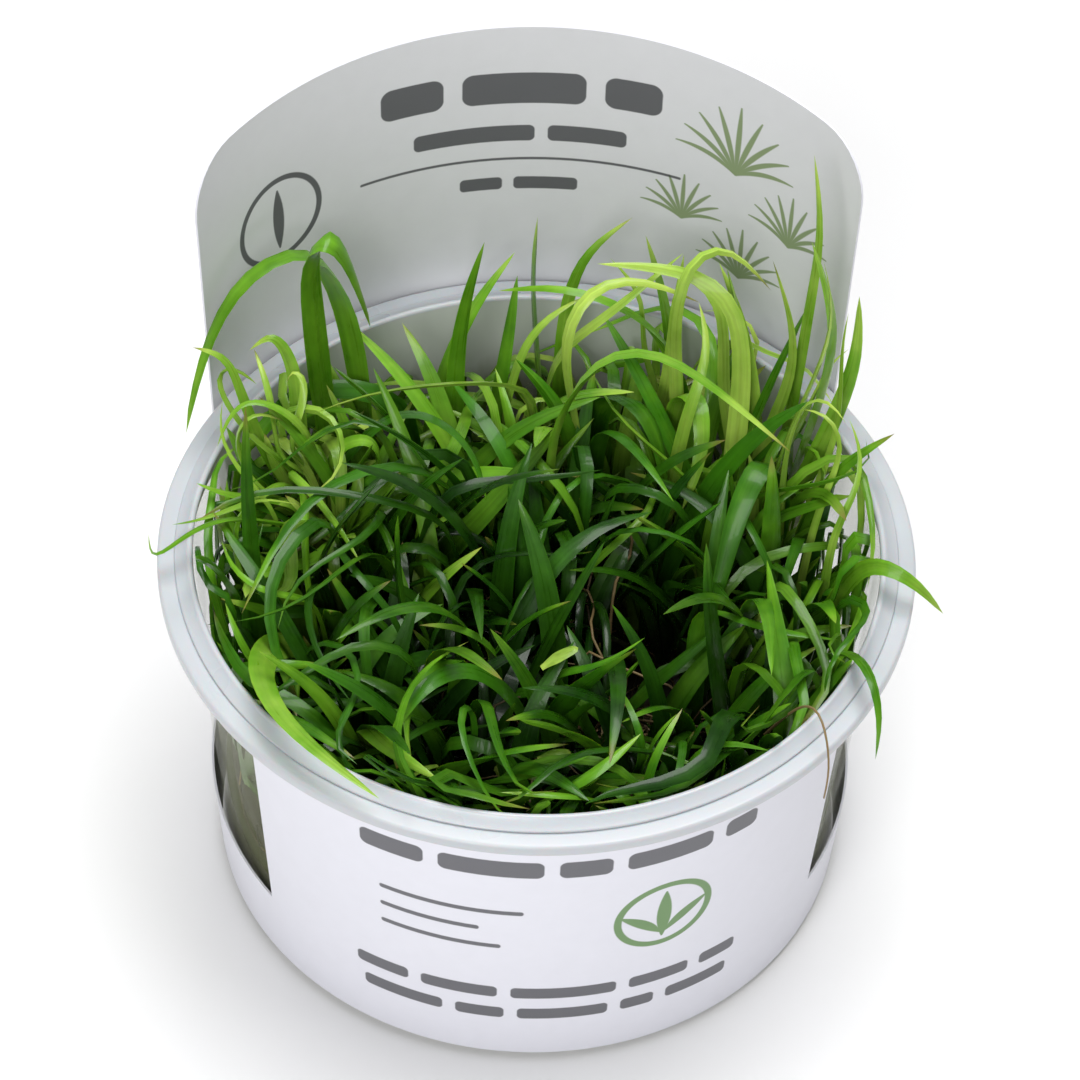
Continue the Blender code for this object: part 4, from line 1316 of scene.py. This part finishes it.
class CUP_OT_plantlets(bpy.types.Operator):
    """Plantlets with their fine blades, young leaves and daughter shoots"""

    bl_idname = "culture_cup.plantlets"
    bl_label = "Plantlets"

    def execute(self, context):
        """Lay a fine blade over every solid leaf and add the young leaves between them."""
        plants = context.scene.culture_plants
        cup = context.scene.culture_cup
        rng = random.Random(23)
        finish = leaf_finish(plants)
        thicket = Thicket()
        for name in ("cup", "card_sleeve", "root_mat"):
            thicket.add_solid(name)
        grown = {name: solid_leaves(name, plants, rng) for name in PLANTLETS}
        for name, (_, _, leaves) in grown.items():
            for leaf in leaves:
                thicket.add_leaf(leaf, name)
        shoots = [(name, Vector((foot.x, foot.y, top))) for name, (foot, top, _) in grown.items()]
        for name, shoot in shoots[:]:
            for _ in range(plants.daughters):
                turn = rng.uniform(0.0, math.tau)
                away = Vector((math.cos(turn), math.sin(turn), -0.15)) * rng.uniform(3.2, 5.0) * MM
                shoots.append((name, shoot + away))
        self.grow_picked(rng, thicket, shoots, grown)
        self.grow_young(rng, thicket, shoots, grown, plants, cup)
        templates = [blade_template(count) for count in (plants.stations, plants.fine_stations)]
        for name, (foot, crown_top, leaves) in grown.items():
            yellow = PLANTLET_YELLOW.get(name, rng.uniform(0.1, 0.34))
            for leaf in leaves:
                if leaf.fine and leaf.tone is None and name in PLANTLET_YELLOW:
                    leaf.tone = (yellow + rng.uniform(-0.08, 0.08), rng.uniform(0.55, 0.85),
                                 rng.random())
                self.colour(rng, leaf, yellow)
            self.build(name, foot, crown_top, leaves, templates, finish)
        for template in templates:
            bpy.data.meshes.remove(template)
        return {"FINISHED"}

    @staticmethod
    def grow_picked(rng, thicket, shoots, grown):
        """Add the leaves that stand out, each from one of the shoots nearest to it."""
        for width, yellow, *points in PICKED_LEAVES:
            start = Vector(points[0]).xy * MM
            nearest = sorted(shoots, key=lambda shoot: (shoot[1].xy - start).length)[:4]
            for attempt in range(PICK_TRIES):
                name, shoot = nearest[attempt % len(nearest)]
                line = picked_line(rng, shoot, points, (0.2 + 1.8 * attempt / PICK_TRIES) * MM)
                leaf = thicket.grow(rng, name, line, width * MM, rng.uniform(2.2, 3.5), 1.0)
                if leaf:
                    leaf.fine = True
                    leaf.tone = (yellow, 0.75, rng.random())
                    grown[name][2].append(leaf)
                    break

    @staticmethod
    def grow_young(rng, thicket, shoots, grown, plants, cup):
        """Add the young leaves, kind by kind, each from a shoot at random."""
        for kind in LEAF_KINDS:
            most = getattr(plants, kind.setting)
            count = 0
            places = [shoot for shoot in shoots
                      if kind.outward < 1.0 or shoot[1].xy.length > OUTER_SHOOT]
            for _ in range(most * plants.tries):
                if count >= most:
                    break
                name, shoot = rng.choice(places)
                line = young_line(rng, shoot, kind, cup)
                if any(point.z > canopy_height(point) + kind.over * MM for point in line[0]):
                    continue
                end = 1.0 if rng.random() < 0.75 else rng.uniform(0.78, 0.9)
                width = plants.blade_width * rng.uniform(*kind.width)
                leaf = thicket.grow(rng, name, line, width, rng.uniform(*kind.taper), end)
                if leaf:
                    grown[name][2].append(leaf)
                    count += 1

    @staticmethod
    def colour(rng, leaf, yellow):
        """Tone of a leaf from that of its plantlet: yellower and lighter at the back and the sides, and
        darker and less yellow in the middle of the tuft as painted shade.
        """
        tip = leaf.middles[-1] / MM
        back = max(eased(tip.y, 6.0, 34.0), 0.15 * eased(-tip.x, 24.0, 42.0),
                   0.5 * eased(tip.x, 20.0, 42.0))
        # middle: painted shade, making leaves towards the middle of the tuft darker and less yellow
        middle = 1.0 - eased(tip.xy.length, 10.0, 36.0)
        if leaf.tone is None:
            leaf.tone = (min(1.0, max(0.0, yellow + 0.3 * back - 0.12 * middle + rng.gauss(0.0, 0.1))),
                         rng.uniform(0.1, 0.85) + 0.2 * back - 0.25 * middle, rng.random())

    @staticmethod
    def build(name, foot, crown_top, leaves, templates, finish):
        """One piece: the crown with its blades, the first of which stand for the solid ones."""
        bm = bmesh.new()
        bm.loops.layers.uv.new("blade")
        tone_layer = bm.verts.layers.float_color.new("tone")
        height = crown_top - foot.z
        points = [foot + UP * (height * share) for share in (0.0, 0.12, 0.5, 0.85, 1.0)]
        radii = [0.25 * MM, 0.9 * MM, 1.5 * MM, 1.7 * MM, 1.2 * MM]
        lay_tube(bm, points, radii, tone_layer, (0.8, 0.6, 0.5), sides=10)
        for leaf in leaves:
            lay_blade(bm, templates[leaf.fine], leaf, tone_layer)
        add_piece(name + "_rosette", bm, [finish], [name], sharp=65.0)


# Cut ends of leaves that lie on the tuft: place from above, length and width, all in mm, turn in
# degrees and how yellow
CLIPPINGS = (
    (2, -19, 5.5, 1.8, 20, 0.8),
    (-5, -24, 4.0, 2.0, -40, 0.85),
    (1, -27, 4.5, 1.6, 10, 0.7),
    (-16, -30, 4.0, 1.6, 35, 0.7),
    (12, -24, 4.5, 1.1, 100, 0.8),
    (21, -26, 3.5, 1.4, -20, 0.7),
    (-12, 8, 3.5, 1.5, 15, 0.6),
)
CLIPPING_LIFT = 0.35 * MM
CLIPPING_STEPS = 6
DROP_HEIGHT = 150.0


class CUP_OT_clippings(bpy.types.Operator):
    """Loose cut ends of leaves on the tuft"""

    bl_idname = "culture_cup.clippings"
    bl_label = "Clippings"

    def execute(self, context):
        """Drop each clipping from above onto the leaf that carries it."""
        plants = context.scene.culture_plants
        rng = random.Random(3)
        template = blade_template(plants.stations)
        bm = bmesh.new()
        bm.loops.layers.uv.new("blade")
        tone_layer = bm.verts.layers.float_color.new("tone")
        depsgraph = context.evaluated_depsgraph_get()
        for x, y, length, width, turn, yellow in CLIPPINGS:
            found, place, normal, _, _, _ = context.scene.ray_cast(
                depsgraph, Vector((x, y, DROP_HEIGHT)) * MM, -UP)
            if not found:
                continue
            normal = (normal + UP).normalized()
            ahead = Vector((math.cos(math.radians(turn)), math.sin(math.radians(turn)), 0.0))
            ahead = (ahead - normal * ahead.dot(normal)).normalized() * (length * MM)
            start = place + normal * CLIPPING_LIFT - ahead * 0.5
            middles = []
            for i in range(CLIPPING_STEPS + 1):
                share = i / CLIPPING_STEPS
                arch = normal * (CLIPPING_LIFT * math.sin(math.pi * share))
                middles.append(start + ahead * share + arch)
            side = normal.cross(ahead).normalized()
            leaf = Leaf(middles, [side] * len(middles), width * MM, 5.0, 0.1, 0.93)
            leaf.tone = (yellow, 0.45, rng.random())
            lay_blade(bm, template, leaf, tone_layer)
        bpy.data.meshes.remove(template)
        add_piece("loose_clippings", bm, [bpy.data.materials["leaf_blade"]], [], sharp=65.0)
        return {"FINISHED"}


# Stage

# How far the middle of the photograph lies from that of the rim, as a share of its width
CAMERA_SHIFT = (3.0 / 1080.0, 9.0 / 1080.0)


def aim_camera(stage, context):
    """Camera at the photograph's angle, turned and rolled as measured."""
    rim_height = context.scene.culture_cup.rim_height
    elevation, azimuth, roll = stage.elevation, stage.azimuth, stage.roll
    back = Vector((math.sin(azimuth) * math.cos(elevation), -math.cos(azimuth) * math.cos(elevation),
                   math.sin(elevation)))
    right = Vector((math.cos(azimuth), math.sin(azimuth), 0.0))
    up = back.cross(right)
    rolled_right = right * math.cos(roll) + up * math.sin(roll)
    rolled_up = up * math.cos(roll) - right * math.sin(roll)
    data = bpy.data.cameras.new("camera")
    data.lens = stage.lens
    data.sensor_width = 36.0
    data.shift_x, data.shift_y = CAMERA_SHIFT
    data.clip_start = 0.01
    camera = bpy.data.objects.new("camera", data)
    turn = Matrix((rolled_right, rolled_up, back)).transposed().to_4x4()
    camera.matrix_world = Matrix.Translation(UP * rim_height + back * stage.distance) @ turn
    context.collection.objects.link(camera)
    context.scene.camera = camera


def soft_lamp(name, place, target, size, watts, colour=(1.0, 1.0, 1.0)):
    """Square area lamp that faces a point."""
    data = bpy.data.lights.new(name, "AREA")
    data.shape = "SQUARE"
    data.size = size
    data.energy = watts
    data.color = colour
    lamp = bpy.data.objects.new(name, data)
    lamp.location = place
    lamp.rotation_euler = (Vector(target) - Vector(place)).to_track_quat("-Z", "Y").to_euler()
    bpy.context.collection.objects.link(lamp)


class CUP_OT_stage(bpy.types.Operator):
    """Pale floor, soft light and camera"""

    bl_idname = "culture_cup.stage"
    bl_label = "Stage"

    def execute(self, context):
        """Lay the floor, hang the lamps and aim the camera."""
        stage = context.scene.culture_stage
        bm = bmesh.new()
        bmesh.ops.create_circle(bm, cap_ends=True, segments=64, radius=1.6)
        mesh = bpy.data.meshes.new("floor")
        bm.to_mesh(mesh)
        bm.free()
        paint = Paint("floor_paper", Base_Color=(0.9, 0.9, 0.9, 1.0), Roughness=0.8)
        mesh.materials.append(paint.material)
        floor = bpy.data.objects.new("floor", mesh)
        context.collection.objects.link(floor)
        world = bpy.data.worlds.new("soft_room")
        world.use_nodes = True
        background = world.node_tree.nodes["Background"]
        background.inputs["Color"].default_value = (1.0, 1.0, 1.0, 1.0)
        background.inputs["Strength"].default_value = stage.room_light
        context.scene.world = world
        context.scene.view_settings.view_transform = "Standard"
        middle = (0.0, 0.0, 0.05)
        soft_lamp("top_lamp", (0.1, 0.2, 1.2), middle, 0.8, stage.top_watts)
        soft_lamp("front_lamp", (-0.35, -0.9, 0.75), middle, 0.6, stage.front_watts)
        aim_camera(stage, context)
        return {"FINISHED"}


class CUP_PT_panel(bpy.types.Panel):
    """Sidebar panel with a button for each piece"""

    bl_idname = "CUP_PT_panel"
    bl_label = "Culture cup"
    bl_space_type = "VIEW_3D"
    bl_region_type = "UI"
    bl_category = "Culture cup"

    def draw(self, context):
        """One button a piece."""
        for operator in OPERATORS:
            self.layout.operator(operator.bl_idname)


OPERATORS = (CUP_OT_stage, CUP_OT_gel, CUP_OT_roots, CUP_OT_plantlets, CUP_OT_clippings,
             CUP_OT_tub, CUP_OT_card)
SETTINGS = {"culture_cup": CupSettings, "culture_card": CardSettings, "culture_plants": PlantSettings,
            "culture_stage": StageSettings}


def register():
    """Register the classes and hang the settings on the scene."""
    for cls in (*SETTINGS.values(), *OPERATORS, CUP_PT_panel):
        bpy.utils.register_class(cls)
    for name, cls in SETTINGS.items():
        setattr(bpy.types.Scene, name, PointerProperty(type=cls))


def unregister():
    """Take the settings and the classes away again."""
    for name in SETTINGS:
        delattr(bpy.types.Scene, name)
    for cls in (CUP_PT_panel, *reversed(OPERATORS), *SETTINGS.values()):
        bpy.utils.unregister_class(cls)


def main():
    """Build every piece."""
    register()
    for operator in OPERATORS:
        group, action = operator.bl_idname.split(".")
        getattr(getattr(bpy.ops, group), action)()


if __name__ == "__main__":
    main()
